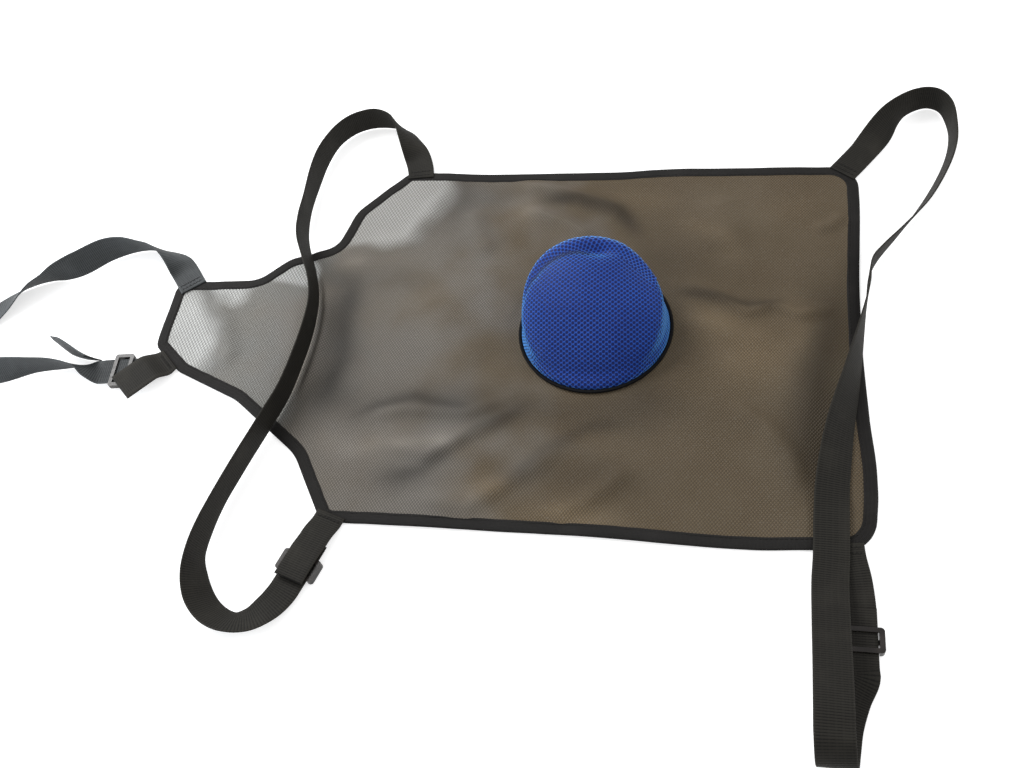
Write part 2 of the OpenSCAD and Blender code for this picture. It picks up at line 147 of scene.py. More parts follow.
BASE_ROUTE = [
    (0.342, 0.201, FIRST, (-8, 6, 0)), (0.357, 0.221, FIRST, (-8, 6, 0)),
    (0.372, 0.242, FIRST, (-8, 6, 0)), (0.386, 0.262, 0.001, (-8, 6, 4)),
    (0.399, 0.282, 0, (-5, 3, 8)), (0.412, 0.296, 0, (-1, 2, 9)),
    (0.426, 0.305, 0, (0, 1, 10)), (0.440, 0.308, 0, (0, 0, 10)),
    (0.452, 0.302, 0, (0, 0, 10)), (0.459, 0.286, 0, (1, 0, 10)),
    (0.461, 0.262, 0, (1, 0, 10)), (0.457, 0.230, 0, (2, -1, 9)),
    (0.445, 0.195, 0, (3, -1, 9)), (0.425, 0.155, 0, (3, -2, 9)),
    (0.402, 0.121, 0, (2, -2, 10)), (0.381, 0.092, 0, (1, -1, 10)),
    (0.371, 0.072, 0, (0, 0, 10)), (0.367, 0.040, OVER, (0, 0, 10)),
    (0.360, 0.000, OVER, (-2, 0, 10)), (0.350, -0.050, OVER, (-5, 0, 8)),
    (0.338, -0.105, OVER, (-8, 0, 5)), (0.331, -0.155, OVER, (-10, 0, 2)),
    (0.329, -0.190, 0.0042, (-10, 0, 0)), (0.328, -0.226, 0.0044, (-10, 0, 0)),
    (0.326, -0.255, 0.008, (-10, 0, 0)), (0.325, -0.290, 0.018, (-10, 0, 0)),
    (0.324, -0.330, 0.032, (-10, 0, 0)), (0.323, -0.365, 0.043, (-10, 0, 0)),
    (0.323, -0.390, 0.044, (-10, 0, 0)), (0.325, -0.404, 0.030, (-10, 0, 0)),
    (0.328, -0.400, 0.012, (-10, 0, 0)), (0.331, -0.384, 0.002, (-10, 1, 0)),
    (0.334, -0.366, 0.0004, (-10, 3, 0)), (0.340, -0.346, 0.002, (-10, 3, 0)),
    (0.347, -0.330, SECOND, (-10, 1, 0)), (0.347, -0.321, SECOND, (-10, 0, 0)),
    (0.347, -0.299, SECOND, (-10, 0, 0)), (0.347, -0.272, SECOND, (-10, 0, 0)),
]
BASE_TAB_ROUTE = [
    (0.339, -0.204, FIRST, (-10, 1, 0)), (0.341, -0.226, FIRST, (-10, 1, 0)),
    (0.345, -0.248, FIRST, (-10, 1, 0)), (0.347, -0.272, FIRST, (-10, 0, 0)),
    (0.347, -0.299, FIRST, (-10, 0, 0)), (0.347, -0.315, FIRST, (-10, 0, 0)),
]

# Where the webbing comes out from under the binding, as a share of a route's first stretch
NECK_FROM = 0.25
SEWN_FROM = 0.55
# The point of the base strap's route at which its mesh is cut in two
BASE_CUT = 20

# Where the webbing bends out of the vest: the body that folds, and the start and end of the bend. No bend
# is made; the pieces given one stay fixed where they lie.
NECK_BEND = ("neck_loop", (-0.346, 0, 0), (-0.3645, 0, 0))
SHOULDER_BEND = ("shoulder_loop", (-0.114, 0.224, 0), (-0.140, 0.272, 0))
SHOULDER_TAB_BEND = ("shoulder_loop", (-0.116, -0.208, 0), (-0.1265, -0.240, 0))
ARCH_BEND = ("base_arch", (0.360, 0, 0), (0.392, 0, 0))
DROP_BEND = ("base_drop", (0, -0.214, 0), (0, -0.240, 0))

# ---------------------------------------------------------------- mesh helpers


def link_object(name, data):
    """A new object in the scene."""
    obj = bpy.data.objects.new(name, data)
    bpy.context.scene.collection.objects.link(obj)
    return obj


def link_mesh(name, points, faces, weave=None):
    """A new mesh object, with its own fabric coordinates in metres if weave is given."""
    mesh = bpy.data.meshes.new(name)
    mesh.from_pydata([tuple(map(float, p)) for p in points], [], [list(map(int, f)) for f in faces])
    mesh.polygons.foreach_set("use_smooth", [True] * len(mesh.polygons))
    if weave is not None:
        set_weave(mesh, weave)
    mesh.update()
    return link_object(name, mesh)


def set_weave(mesh, weave):
    """Stores each vertex's place in its own fabric: along, across and side, in metres."""
    layer = mesh.attributes.get("weave") or mesh.attributes.new("weave", "FLOAT_VECTOR", "POINT")
    layer.data.foreach_set("vector", np.asarray(weave, np.float32).ravel())


def vertices_of(obj):
    """The vertex places of a mesh object as an array."""
    flat = np.zeros(len(obj.data.vertices) * 3)
    obj.data.vertices.foreach_get("co", flat)
    return flat.reshape(-1, 3)


def normals_of(obj):
    """The vertex normals of a mesh object as an array."""
    flat = np.zeros(len(obj.data.vertices) * 3, np.float32)
    obj.data.vertex_normals.foreach_get("vector", flat)
    return flat.reshape(-1, 3).astype(float)


def move_vertices(obj, places):
    """Puts the vertices of a mesh object at new places."""
    obj.data.vertices.foreach_set("co", np.asarray(places, np.float32).ravel())
    obj.data.update()


def apply_modifiers(obj):
    """Replaces an object's mesh by what its modifiers make of it."""
    graph = bpy.context.evaluated_depsgraph_get()
    made = bpy.data.meshes.new_from_object(obj.evaluated_get(graph), depsgraph=graph)
    obj.modifiers.clear()
    obj.data = made


def ring_faces(rings, count, closed_along=False, caps=(False, False)):
    """Quads between rings of count points each, and a face over the first and last ring where wanted."""
    last = rings if closed_along else rings - 1
    faces = [
        (i * count + j, (i + 1) % rings * count + j,
         (i + 1) % rings * count + (j + 1) % count, i * count + (j + 1) % count)
        for i in range(last)
        for j in range(count)
    ]
    if caps[0]:
        faces.append(range(count)[::-1])
    if caps[1]:
        faces.append(range((rings - 1) * count, rings * count))
    return faces


def ramp(value, low, high):
    """Smooth step from 0 at low to 1 at high."""
    t = np.clip((value - low) / (high - low), 0, 1)
    return t * t * (3 - 2 * t)


def finish_piece(obj, material):
    """Gives a piece its material."""
    obj.data.materials.clear()
    obj.data.materials.append(material)
    return obj


def recalculate_normals(obj):
    """Turns every face of a closed or nearly closed mesh outwards."""
    work = bmesh.new()
    work.from_mesh(obj.data)
    bmesh.ops.recalc_face_normals(work, faces=work.faces)
    work.to_mesh(obj.data)
    work.free()


# ---------------------------------------------------------------- outline of the panel


def outline(inset):
    """Points of the rounded outline, moved inwards by inset."""
    points = []
    count = len(CORNERS)
    for i, (x, y, radius) in enumerate(CORNERS):
        here = np.array((x, y))
        going_in = here - np.array(CORNERS[i - 1][:2])
        going_out = np.array(CORNERS[(i + 1) % count][:2]) - here
        going_in /= np.linalg.norm(going_in)
        going_out /= np.linalg.norm(going_out)
        left_in = np.array((-going_in[1], going_in[0]))
        left_out = np.array((-going_out[1], going_out[0]))
        corner = here + inset * (left_in + left_out) / (1 + left_in @ left_out)
        turn = math.atan2(going_in[0] * going_out[1] - going_in[1] * going_out[0], going_in @ going_out)
        side = math.copysign(1, turn)
        bend = max(radius - side * inset, 0.002)
        start = corner - going_in * bend * math.tan(abs(turn) / 2)
        centre = start + side * bend * left_in
        for k in range(ARC_STEPS + 1):
            c, s = math.cos(turn * k / ARC_STEPS), math.sin(turn * k / ARC_STEPS)
            dx, dy = start - centre
            points.append(centre + np.array((dx * c - dy * s, dx * s + dy * c)))
    return np.array(points)


def distances_along(line):
    """How far along a line each of its points lies."""
    return np.concatenate([[0], np.cumsum(np.linalg.norm(np.diff(line, axis=0), axis=1))])


def directions_round(line):
    """The direction of a closed line at each of its points."""
    ahead = np.roll(line, -1, axis=0) - np.roll(line, 1, axis=0)
    return ahead / np.linalg.norm(ahead, axis=1)[:, None]


def rim_line(inset, step):
    """Equally spaced points round the panel at an inset, with their distance along it."""
    line = outline(inset)
    line = np.vstack([line, line[:1]])
    run = distances_along(line)
    places = np.linspace(0, run[-1], round(run[-1] / step) + 1)[:-1]
    return np.stack([np.interp(places, run, line[:, k]) for k in (0, 1)], axis=1), places


# ---------------------------------------------------------------- webbing


def knot(x, y, low, across):
    """A route point as six numbers: the webbing's middle, then the direction across it."""
    across = np.array(across, float) / np.linalg.norm(across)
    return np.array([x, y, low + WEB_W / 2 * abs(across[2]) + WEB_T / 2, *across])


def along(knots, u):
    """The smoothed route at position u, with height and tilt kept between those of its neighbours."""
    last = len(knots) - 1
    i = min(max(math.floor(u), 0), last - 1)
    p0, p1, p2, p3 = (knots[min(max(i + k, 0), last)] for k in (-1, 0, 1, 2))
    t = u - i
    bend = 2 * p0 - 5 * p1 + 4 * p2 - p3
    free = p1 + 0.5 * t * ((p2 - p0) + t * (bend + t * (3 * p1 - p0 - 3 * p2 + p3)))
    for k in (2, 5):
        free[k] = min(max(free[k], min(p1[k], p2[k])), max(p1[k], p2[k]))
    return free


class Run:
    """A stretch of webbing along a route: ring places with their directions, an equal step apart."""

    def __init__(self, route, start, end):
        steps_a_stretch = 40
        reach = 0.05
        knots = [knot(*p) for p in route]
        last = len(knots) - 1
        fine = np.linspace(start, end, int((end - start) * steps_a_stretch) + 1)
        middles = np.array([along(knots, u)[:3] for u in fine])
        run = distances_along(middles)
        count = max(3, round(run[-1] / RING_STEP))
        self.places = np.interp(np.linspace(0, run[-1], count + 1), run, fine)
        self.length = run[-1]
        rings = []
        for u in self.places:
            here = along(knots, u)
            step_ahead = along(knots, min(u + reach, last)) - along(knots, max(u - reach, 0))
            forward = step_ahead[:3] / np.linalg.norm(step_ahead[:3])
            across = here[3:] - (here[3:] @ forward) * forward
            across /= np.linalg.norm(across)
            rings.append((here[:3], across, np.cross(forward, across)))
        self.middle, self.across, self.up = (np.array(part) for part in zip(*rings))


def webbing_section():
    """Points round a webbing's section: share of the half width, share of the half thickness."""
    flat = 1 - 0.7 * WEB_T / WEB_W
    wide = np.linspace(-flat, flat, 11)
    low_side = [(v, -1.0) for v in wide]
    high_side = [(v, 1.0) for v in wide[::-1]]
    right_edge = [(0.992, -0.7), (1.0, 0.0), (0.992, 0.7)]
    left_edge = [(-0.992, 0.7), (-1.0, 0.0), (-0.992, -0.7)]
    return low_side + right_edge + high_side + left_edge


def webbing(name, run, width=WEB_W, lift=0.0, closed_ends=(True, True), offset=0.0):
    """A piece of webbing along a run. lift is how far each of its rings lies above the route."""
    section = webbing_section()
    rings, count = len(run.places), len(section)
    half = np.broadcast_to(np.divide(width, 2), rings)
    lift = np.broadcast_to(lift, rings)
    points, weave = [], []
    for i in range(rings):
        travelled = offset + run.length * i / (rings - 1)
        middle = run.middle[i] + (0, 0, lift[i])
        for v, w in section:
            points.append(middle + v * half[i] * run.across[i] + w * WEB_T / 2 * run.up[i])
            weave.append((travelled, v * half[i], w * WEB_T / 2))
    obj = link_mesh(name, points, ring_faces(rings, count, caps=closed_ends), weave)
    recalculate_normals(obj)
    return obj


def strap(name, run, nodes, body, cloth, **shape):
    """Webbing in place of some CAD nodes. body is the one it rides, or a bend out of the vest, which is not
    used: then the piece stays fixed where it lies.
    """
    piece = webbing(name, run, **shape)
    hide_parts(*nodes)
    if isinstance(body, str):
        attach(piece, body)
    else:
        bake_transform(piece)
    return finish_piece(piece, cloth)


# Which ends are closed in a strap made of two pieces that meet
START_PIECE = (True, False)
END_PIECE = (False, True)


def build_neck_loop(cloth, tab_cloth):
    """The loop at the end of the tongue: the strap with its folded end and tail, and the tab on top."""
    # cloth, the lighter copy of the webbing with painted light, dresses the strap and its tail; tab_cloth,
    # the plain webbing, the tab and folded end
    sewn = Run(NECK_ROUTE, NECK_FROM, 2)
    strap("neck_strap_sewn_end", sewn, ["neck_strap_root"], NECK_BEND, cloth, closed_ends=START_PIECE)
    free = Run(NECK_ROUTE, 2, len(NECK_ROUTE) - 1)
    loop = strap(
        "neck_strap_loop", free, ["neck_strap"], "neck_loop", cloth,
        closed_ends=END_PIECE, offset=sewn.length,
    )
    # The tab widens towards its end and rises over the slider
    tab = Run(NECK_TAB_ROUTE, NECK_FROM, 2)
    strap(
        "neck_tab_webbing", tab, ["neck_tab_root", "neck_tab"], NECK_BEND, tab_cloth,
        width=WEB_W + 0.008 * ramp(tab.places, 0.1, 0.7), lift=0.0079 * ramp(tab.places, 0.45, 0.95),
    )
    hem = Run(NECK_HEM_ROUTE, 0, 1)
    strap("neck_strap_folded_end", hem, ["neck_strap_hem"], "neck_loop", tab_cloth, width=0.018)
    # The tail turns on edge and thins out to a quarter of its width
    loose = Run(NECK_TAIL_ROUTE, 0, 3)
    narrow = WEB_W * (1 - 0.75 * ramp(loose.places, 2.0, 3.0))
    tail = strap("neck_strap_tail", loose, ["neck_tail"], "neck_loop", cloth, width=narrow)


def build_shoulder_loop(cloth):
    """The loop across the shoulders of the panel, and its tab on top of the slider."""
    sewn = Run(SHOULDER_ROUTE, SEWN_FROM, 4)
    strap(
        "shoulder_strap_sewn_end", sewn, ["shoulder_strap_root"], SHOULDER_BEND, cloth,
        closed_ends=START_PIECE,
    )
    free = Run(SHOULDER_ROUTE, 4, len(SHOULDER_ROUTE) - 1)
    loop = strap(
        "shoulder_strap_loop", free, ["shoulder_strap"], "shoulder_loop", cloth,
        closed_ends=END_PIECE, offset=sewn.length,
    )
    # The tab rises in two steps, over the slider's near bar and then over its middle
    tab = Run(SHOULDER_TAB_ROUTE, SEWN_FROM, 3)
    over = 0.0044 * ramp(tab.places, 0.85, 1.35) + 0.0022 * ramp(tab.places, 1.35, 1.7)
    strap(
        "shoulder_tab_webbing", tab, ["shoulder_tab_root", "shoulder_tab"], SHOULDER_TAB_BEND, cloth,
        lift=over,
    )


def build_base_loop(cloth):
    """The loop round the wide end, in two pieces cut where it lies on the panel; each half is given its own
    fold, which is not made.
    """
    arch = Run(BASE_ROUTE, SEWN_FROM, BASE_CUT)
    arch_piece = strap(
        "base_strap_arch_webbing", arch, ["base_strap_root", "base_strap_arch"], ARCH_BEND, cloth,
        closed_ends=START_PIECE,
    )
    drop = Run(BASE_ROUTE, BASE_CUT, len(BASE_ROUTE) - 1)
    drop_piece = strap(
        "base_strap_drop_webbing", drop, ["base_strap_side", "base_strap_drop"], DROP_BEND, cloth,
        closed_ends=END_PIECE, offset=arch.length,
    )
    tab = Run(BASE_TAB_ROUTE, SEWN_FROM, 5)
    strap("base_tab_webbing", tab, ["base_tab_root", "base_tab"], DROP_BEND, cloth)


# ---------------------------------------------------------------- how the cloth lies

# Soft folds in the cloth: points along the fold, half width, height
FOLDS = [
    ([(-0.208, 0.080), (-0.185, 0.036), (-0.179, 0.003), (-0.178, -0.054), (-0.190, -0.096)],
     0.007, 0.0034),
    ([(-0.150, 0.060), (-0.140, 0.000), (-0.146, -0.070)], 0.018, 0.0020),
    ([(-0.010, 0.204), (0.040, 0.196), (0.092, 0.176), (0.140, 0.150)], 0.009, 0.0040),
    ([(0.010, 0.168), (0.060, 0.146), (0.104, 0.116)], 0.010, 0.0036),
    ([(0.186, 0.060), (0.209, 0.056), (0.238, 0.038), (0.256, 0.026), (0.280, 0.036),
      (0.306, 0.024), (0.350, 0.033)], 0.007, 0.0034),
    ([(0.190, 0.020), (0.236, 0.000), (0.290, -0.006)], 0.014, 0.0024),
    ([(-0.120, -0.112), (-0.067, -0.098), (-0.006, -0.099), (0.046, -0.076)], 0.008, 0.0034),
    ([(-0.100, -0.134), (-0.037, -0.148), (0.007, -0.119), (0.056, -0.084)], 0.008, 0.0032),
    ([(-0.062, -0.192), (0.010, -0.199), (0.053, -0.166), (0.104, -0.122)], 0.010, 0.0034),
    ([(0.080, -0.208), (0.116, -0.190), (0.158, -0.150)], 0.010, 0.0030),
    ([(0.236, -0.076), (0.273, -0.102), (0.292, -0.130), (0.304, -0.172)], 0.009, 0.0034),
    ([(0.318, 0.132), (0.338, 0.138), (0.352, 0.156)], 0.007, 0.0026),
    ([(0.218, 0.186), (0.236, 0.140), (0.232, 0.098)], 0.022, 0.0034),
    ([(-0.044, 0.170), (-0.034, 0.130), (-0.010, 0.094)], 0.012, 0.0032),
    ([(-0.076, 0.204), (-0.092, 0.157), (-0.110, 0.120), (-0.166, 0.112)], 0.012, 0.0030),
    ([(-0.318, 0.040), (-0.292, 0.004), (-0.276, -0.034), (-0.282, -0.062)], 0.010, 0.0026),
    ([(-0.070, 0.060), (-0.050, -0.010), (0.004, -0.050)], 0.024, 0.0026),
]


def distance_to_line(points, line):
    """Distance from each point to a line of points, and the share of its length passed there."""
    line = np.array(line, float)
    steps = np.diff(line, axis=0)
    lengths = np.linalg.norm(steps, axis=1)
    before = distances_along(line)
    best = np.full(len(points), 1e9)
    share = np.zeros(len(points))
    for k, step in enumerate(steps):
        t = np.clip(((points - line[k]) @ step) / (lengths[k] ** 2), 0, 1)
        away = np.linalg.norm(points - (line[k] + t[:, None] * step), axis=1)
        nearer = away < best
        best = np.where(nearer, away, best)
        share = np.where(nearer, (before[k] + t * lengths[k]) / before[-1], share)
    return best, share


def route_line(route, start, end):
    """A stretch of a webbing's route as points on the floor."""
    return [p[:2] for p in route[start:end]]


def held_down(points):
    """1 where the cloth is free to rise, 0 where something lies on it or is sewn to it."""
    free = np.ones(len(points))
    for line, near, far in [
        (route_line(SHOULDER_ROUTE, 13, 23), 0.0045, 0.0100),
        (route_line(BASE_ROUTE, 16, 24), 0.012, 0.034),
        (route_line(BASE_ROUTE, 0, 3), 0.020, 0.040),
        (route_line(BASE_TAB_ROUTE, 0, 3), 0.020, 0.040),
        (route_line(SHOULDER_ROUTE, 0, 3), 0.018, 0.036),
        (route_line(SHOULDER_TAB_ROUTE, 0, 3), 0.018, 0.036),
        (route_line(NECK_ROUTE, 0, 3), 0.018, 0.034),
        (route_line(NECK_TAB_ROUTE, 0, 3), 0.018, 0.034),
    ]:
        free *= ramp(distance_to_line(points, line)[0], near, far)
    from_pommel = np.hypot(points[:, 0] - POMMEL[0], points[:, 1] - POMMEL[1])
    return free * ramp(from_pommel, POMMEL_R + PIPING_D, POMMEL_R + 0.018)


def rise(points):
    """How far the cloth lies above the floor at each point of the flat panel."""
    waves = np.array([
        noise.noise(Vector((11 * x, 11 * y, 0.3))) * 1.6 + noise.noise(Vector((27 * x, 27 * y, 4.1))) * 0.5
        for x, y in points
    ])
    height = 0.0012 * np.clip(waves + 0.6, 0, 3)
    for line, half_width, tall in FOLDS:
        away, share = distance_to_line(points, line)
        taper = ramp(share, 0.0, 0.25) * (1 - ramp(share, 0.75, 1.0))
        height += 1.4 * tall * np.exp(-((away / half_width) ** 2)) * taper
    return height * held_down(points)


def edge_shift(points):
    """How far the panel's long edges and wide end lie off their straight lines."""
    x, y = points[:, 0], points[:, 1]
    far_edge = ramp(y, 0.12, HALF_W)
    near_edge = ramp(-y, 0.12, HALF_W)
    wide_end = ramp(x, 0.26, HALF_L)
    dip = ramp(x, -0.105, -0.02) * (1 - ramp(x, 0.10, 0.19))
    bulge = ramp(x, 0.10, 0.24) * (1 - ramp(x, 0.26, 0.325))
    hollow = 1 - ramp(np.abs(y - 0.02), 0.02, 0.16)
    belly = ramp(-y, 0.09, 0.15) * (1 - ramp(-y, 0.165, 0.205))
    shift = np.zeros((len(points), 2))
    shift[:, 1] = -0.0045 * dip * far_edge - 0.0035 * bulge * near_edge
    shift[:, 0] = (-0.0045 * hollow + 0.0025 * belly) * wide_end
    return shift


def zone(points, edges):
    """1 inside a shape, 0 outside: each edge is two points, the inside on its left, and a softness."""
    inside = np.ones(len(points))
    for x0, y0, x1, y1, soft in edges:
        ahead = np.array((x1 - x0, y1 - y0)) / math.hypot(x1 - x0, y1 - y0)
        left = (points - (x0, y0)) @ np.array((-ahead[1], ahead[0]))
        inside *= ramp(left, -soft, soft)
    return inside


# Painted reflection: places where the coated cloth is coloured light silver as if it mirrored the window:
# the edges of each, how bright, and where it ends
PAINTED_REFLECTIONS = [
    ([(-0.180, 0.113, -0.107, 0.113, 0.006), (-0.107, 0.113, -0.068, 0.190, 0.018)], 0.52,
     (-0.128, 0.160, 0.075)),
    ([(-0.300, -0.062, -0.291, -0.013, 0.018), (-0.287, -0.013, -0.345, 0.046, 0.016)], 0.84,
     (-0.330, -0.010, 0.075)),
    ([(-0.332, 0.052, -0.286, 0.022, 0.009), (-0.284, 0.020, -0.268, 0.056, 0.014)], 0.76,
     (-0.294, 0.046, 0.034)),
    ([(-0.258, 0.061, -0.214, 0.056, 0.007)], 0.75, (-0.228, 0.070, 0.028)),
    ([(-0.210, -0.200, -0.210, 0.200, 0.015)], 0.13, (-0.290, 0.000, 0.130)),
]

# Painted light and shade on the cloth, soft lighter and darker places where folds and shadows fall: x, y,
# size along x and y, how much
PAINTED_LIGHT_AND_SHADE = [
    (-0.066, 0.186, 0.034, 0.056, -0.42), (0.170, 0.090, 0.046, 0.040, -0.22),
    (0.120, -0.160, 0.060, 0.018, -0.20), (0.090, -0.096, 0.110, 0.020, -0.24),
    (-0.014, 0.186, 0.026, 0.020, -0.22), (-0.110, -0.138, 0.040, 0.014, 0.30),
    (0.030, -0.178, 0.030, 0.012, 0.40), (0.100, -0.204, 0.050, 0.012, 0.30),
    (0.262, -0.022, 0.040, 0.036, 0.52), (0.220, 0.014, 0.026, 0.018, 0.46),
    (0.312, 0.008, 0.018, 0.030, 0.55), (0.158, -0.077, 0.036, 0.022, -0.30),
    (-0.141, -0.088, 0.034, 0.028, -0.34), (-0.060, -0.085, 0.040, 0.020, -0.24),
    (0.004, -0.083, 0.040, 0.020, -0.26), (-0.060, -0.174, 0.026, 0.014, -0.28),
    (-0.177, 0.065, 0.024, 0.020, -0.32), (-0.109, 0.066, 0.034, 0.022, -0.20),
    (-0.010, -0.128, 0.026, 0.014, 0.26), (0.114, -0.203, 0.036, 0.014, 0.24),
    (0.140, 0.178, 0.034, 0.020, 0.20),
    (-0.050, 0.050, 0.056, 0.050, 0.12), (0.300, 0.160, 0.040, 0.030, 0.12),
    (0.016, 0.168, 0.018, 0.024, 0.26), (-0.168, 0.092, 0.014, 0.010, 0.34),
]

# Painted light and shade along folds and creases, as lighter and darker streaks: points along each, half
# width, how much
PAINTED_FOLD_STREAKS = [
    ([(0.020, 0.180), (0.074, 0.181), (0.120, 0.160), (0.150, 0.120)], 0.010, -0.55),
    ([(0.176, 0.054), (0.209, 0.048), (0.250, 0.038), (0.300, 0.036)], 0.007, -0.42),
    ([(-0.130, -0.112), (-0.098, -0.094), (-0.060, -0.084), (0.006, -0.098)], 0.008, -0.42),
    ([(-0.090, -0.178), (-0.040, -0.164), (0.006, -0.116), (0.060, -0.082)], 0.009, -0.40),
    ([(0.034, -0.190), (0.070, -0.140), (0.112, -0.112), (0.160, -0.100)], 0.009, -0.30),
    ([(-0.160, 0.080), (-0.158, 0.010), (-0.150, -0.040), (-0.162, -0.110)], 0.018, -0.62),
    ([(0.336, 0.070), (0.326, 0.000), (0.316, -0.070), (0.306, -0.190)], 0.024, -0.46),
    ([(-0.204, 0.080), (-0.184, 0.030), (-0.186, -0.020), (-0.200, -0.090)], 0.008, 0.45),
    ([(-0.080, -0.140), (-0.030, -0.128), (0.000, -0.150)], 0.008, 0.22),
    ([(0.180, 0.150), (0.230, 0.120), (0.250, 0.090)], 0.012, 0.18),
]


def painted_reflection(points):
    """How strong the painted reflection of the window is at each point, from 0 to 1."""
    wander = np.array([[noise.noise(Vector((34 * x, 34 * y, z))) for z in (9.0, 5.0)] for x, y in points])
    moved = points + 0.008 * wander
    bright = np.zeros(len(points))
    for edges, amount, (x, y, reach) in PAINTED_REFLECTIONS:
        near = 1 - ramp(np.hypot(points[:, 0] - x, points[:, 1] - y), reach * 0.85, reach * 1.1)
        bright = np.maximum(bright, amount * zone(moved, edges) * near)
    return bright


def painted_shading(points):
    """How much the painted light and shade brighten or darken the cloth at each point: 1 is plain."""
    wander = np.array([[noise.noise(Vector((22 * x, 22 * y, z))) for z in (2.0, 7.0)] for x, y in points])
    moved = points + 0.010 * wander
    light = np.ones(len(points))
    for x, y, wide, tall, amount in PAINTED_LIGHT_AND_SHADE:
        light *= 1 + amount * np.exp(-(((moved[:, 0] - x) / wide) ** 2) - ((moved[:, 1] - y) / tall) ** 2)
    moved = points + 0.004 * wander
    for line, half_width, amount in PAINTED_FOLD_STREAKS:
        away, share = distance_to_line(moved, line)
        taper = ramp(share, -0.05, 0.25) * (1 - ramp(share, 0.75, 1.05))
        light *= 1 + amount * np.exp(-((away / half_width) ** 2)) * taper
    return light


# ---------------------------------------------------------------- cloth and binding


def build_panel(material):
    """The sheet of mesh cloth, out to the middle of its binding."""
    rim = outline(CLOTH_INSET)
    closed = np.vstack([rim, rim[:1]])
    columns = 236
    rows = 148
    left, right = rim[:, 0].min() + 1e-5, rim[:, 0].max() - 1e-5
    flat = []
    for x in np.linspace(left, right, columns + 1):
        x0, x1 = closed[:-1, 0], closed[1:, 0]
        crossing = ((x0 <= x) & (x1 > x)) | ((x1 <= x) & (x0 > x))
        t = (x - x0[crossing]) / (x1[crossing] - x0[crossing])
        heights = closed[:-1, 1][crossing] + t * (closed[1:, 1][crossing] - closed[:-1, 1][crossing])
        for y in np.linspace(heights.min(), heights.max(), rows + 1):
            flat.append((x, y))
    flat = np.array(flat)
    lying = flat + edge_shift(flat)
    lift = rise(flat)
    points = np.column_stack([lying, CLOTH_T + lift])
    faces = [
        (i * (rows + 1) + j, (i + 1) * (rows + 1) + j, (i + 1) * (rows + 1) + j + 1, i * (rows + 1) + j + 1)
        for i in range(columns)
        for j in range(rows)
    ]
    weave = np.column_stack([flat, np.zeros(len(flat))])
    panel = link_mesh("mesh_cloth_panel", points, faces, weave)
    # Stores the masks of the painted reflection and of the painted light and shade for the cloth's colour
    for name, values in (("painted_reflection", painted_reflection(flat)), ("painted_shading", painted_shading(flat))):
        layer = panel.data.attributes.new(name, "FLOAT", "POINT")
        layer.data.foreach_set("value", values.astype(np.float32))
    thick = panel.modifiers.new("thickness", "SOLIDIFY")
    thick.thickness = CLOTH_T
    thick.offset = -1
    apply_modifiers(panel)
    finish_piece(panel, material)
    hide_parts("fabric_panel")
    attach(panel, "vest")
    return panel


def build_binding(material):
    """Tape folded over the rim of the cloth all round."""
    middle, run = rim_line(BINDING_W / 2, 0.003)
    ahead = directions_round(middle)
    inward = np.column_stack([-ahead[:, 1], ahead[:, 0]])
    half = BINDING_W / 2
    # The section from the inner edge on top, over the rim, to the inner edge below
    section = [
        (half, 0.0017), (half - 0.0006, 0.00215), (half - 0.0025, 0.00225), (0.0, 0.00240),
        (-half + 0.0025, 0.00235), (-half + 0.0010, 0.0020), (-half + 0.0001, 0.0013),
        (-half + 0.0001, 0.0006), (-half + 0.0010, 0.00005), (0.0, 0.0), (half, 0.0),
    ]
    points, weave = [], []
    lift = rise(middle)
    pucker = np.array([noise.noise(Vector((90 * r, 0.5, 0.5))) for r in run])
    shift = edge_shift(middle)
    for i in range(len(middle)):
        for k, (across, height) in enumerate(section):
            wide = across * (1 + 0.05 * pucker[i] * (across > 0))
            x, y = middle[i] + inward[i] * wide + shift[i]
            puff = 0.00025 * pucker[i] * (2 <= k <= 4)
            points.append((x, y, height + lift[i] + puff))
            weave.append((run[i], across, height))
    faces = ring_faces(len(middle), len(section), closed_along=True)
    binding = link_mesh("edge_binding", points, faces, weave)
    recalculate_normals(binding)
    finish_piece(binding, material)
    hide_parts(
        "binding_tongue_end", "binding_neck_upper", "binding_neck_lower",
        "binding_side_upper", "binding_side_lower", "binding_wide_end",
    )
    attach(binding, "vest")
    return binding


# ---------------------------------------------------------------- thread


def stitch_mesh(name, stitches, radius):
    """Short raised stitches, each from one point to another."""
    sides = 6
    points, faces, weave = [], [], []
    for start, end in stitches:
        start, end = np.array(start, float), np.array(end, float)
        ahead = (end - start) / np.linalg.norm(end - start)
        across = np.cross(ahead, (0, 0, 1))
        across /= np.linalg.norm(across)
        up = np.cross(across, ahead)
        first = len(points)
        for share, size, sink in [(0.0, 0.35, -0.5), (0.2, 0.95, 0.1), (0.8, 0.95, 0.1), (1.0, 0.35, -0.5)]:
            middle = start + share * (end - start) + up * sink * radius
            for k in range(sides):
                a = 2 * math.pi * k / sides
                points.append(middle + size * radius * (math.cos(a) * across + math.sin(a) * up))
                weave.append((share * np.linalg.norm(end - start), a * radius, 0))
        faces += [[first + v for v in face] for face in ring_faces(4, sides, caps=(True, True))]
    return link_mesh(name, points, faces, weave)


def build_binding_stitches(material):
    """The row of stitches that holds the binding on."""
    from_inner_edge = 0.0022
    step = 0.0042
    top = 0.00228
    line = rim_line(BINDING_W - from_inner_edge, step)[0]
    lift = rise(line)
    shift = edge_shift(line)
    stitches = []
    for i in range(len(line)):
        k = (i + 1) % len(line)
        start = np.array([*(line[i] + shift[i]), top + lift[i]])
        end = np.array([*(line[k] + shift[k]), top + lift[k]])
        stitches.append((start + 0.10 * (end - start), start + 0.88 * (end - start)))
    piece = stitch_mesh("binding_stitches", stitches, radius=0.00032)
    finish_piece(piece, material)
    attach(piece, "vest")
    return piece


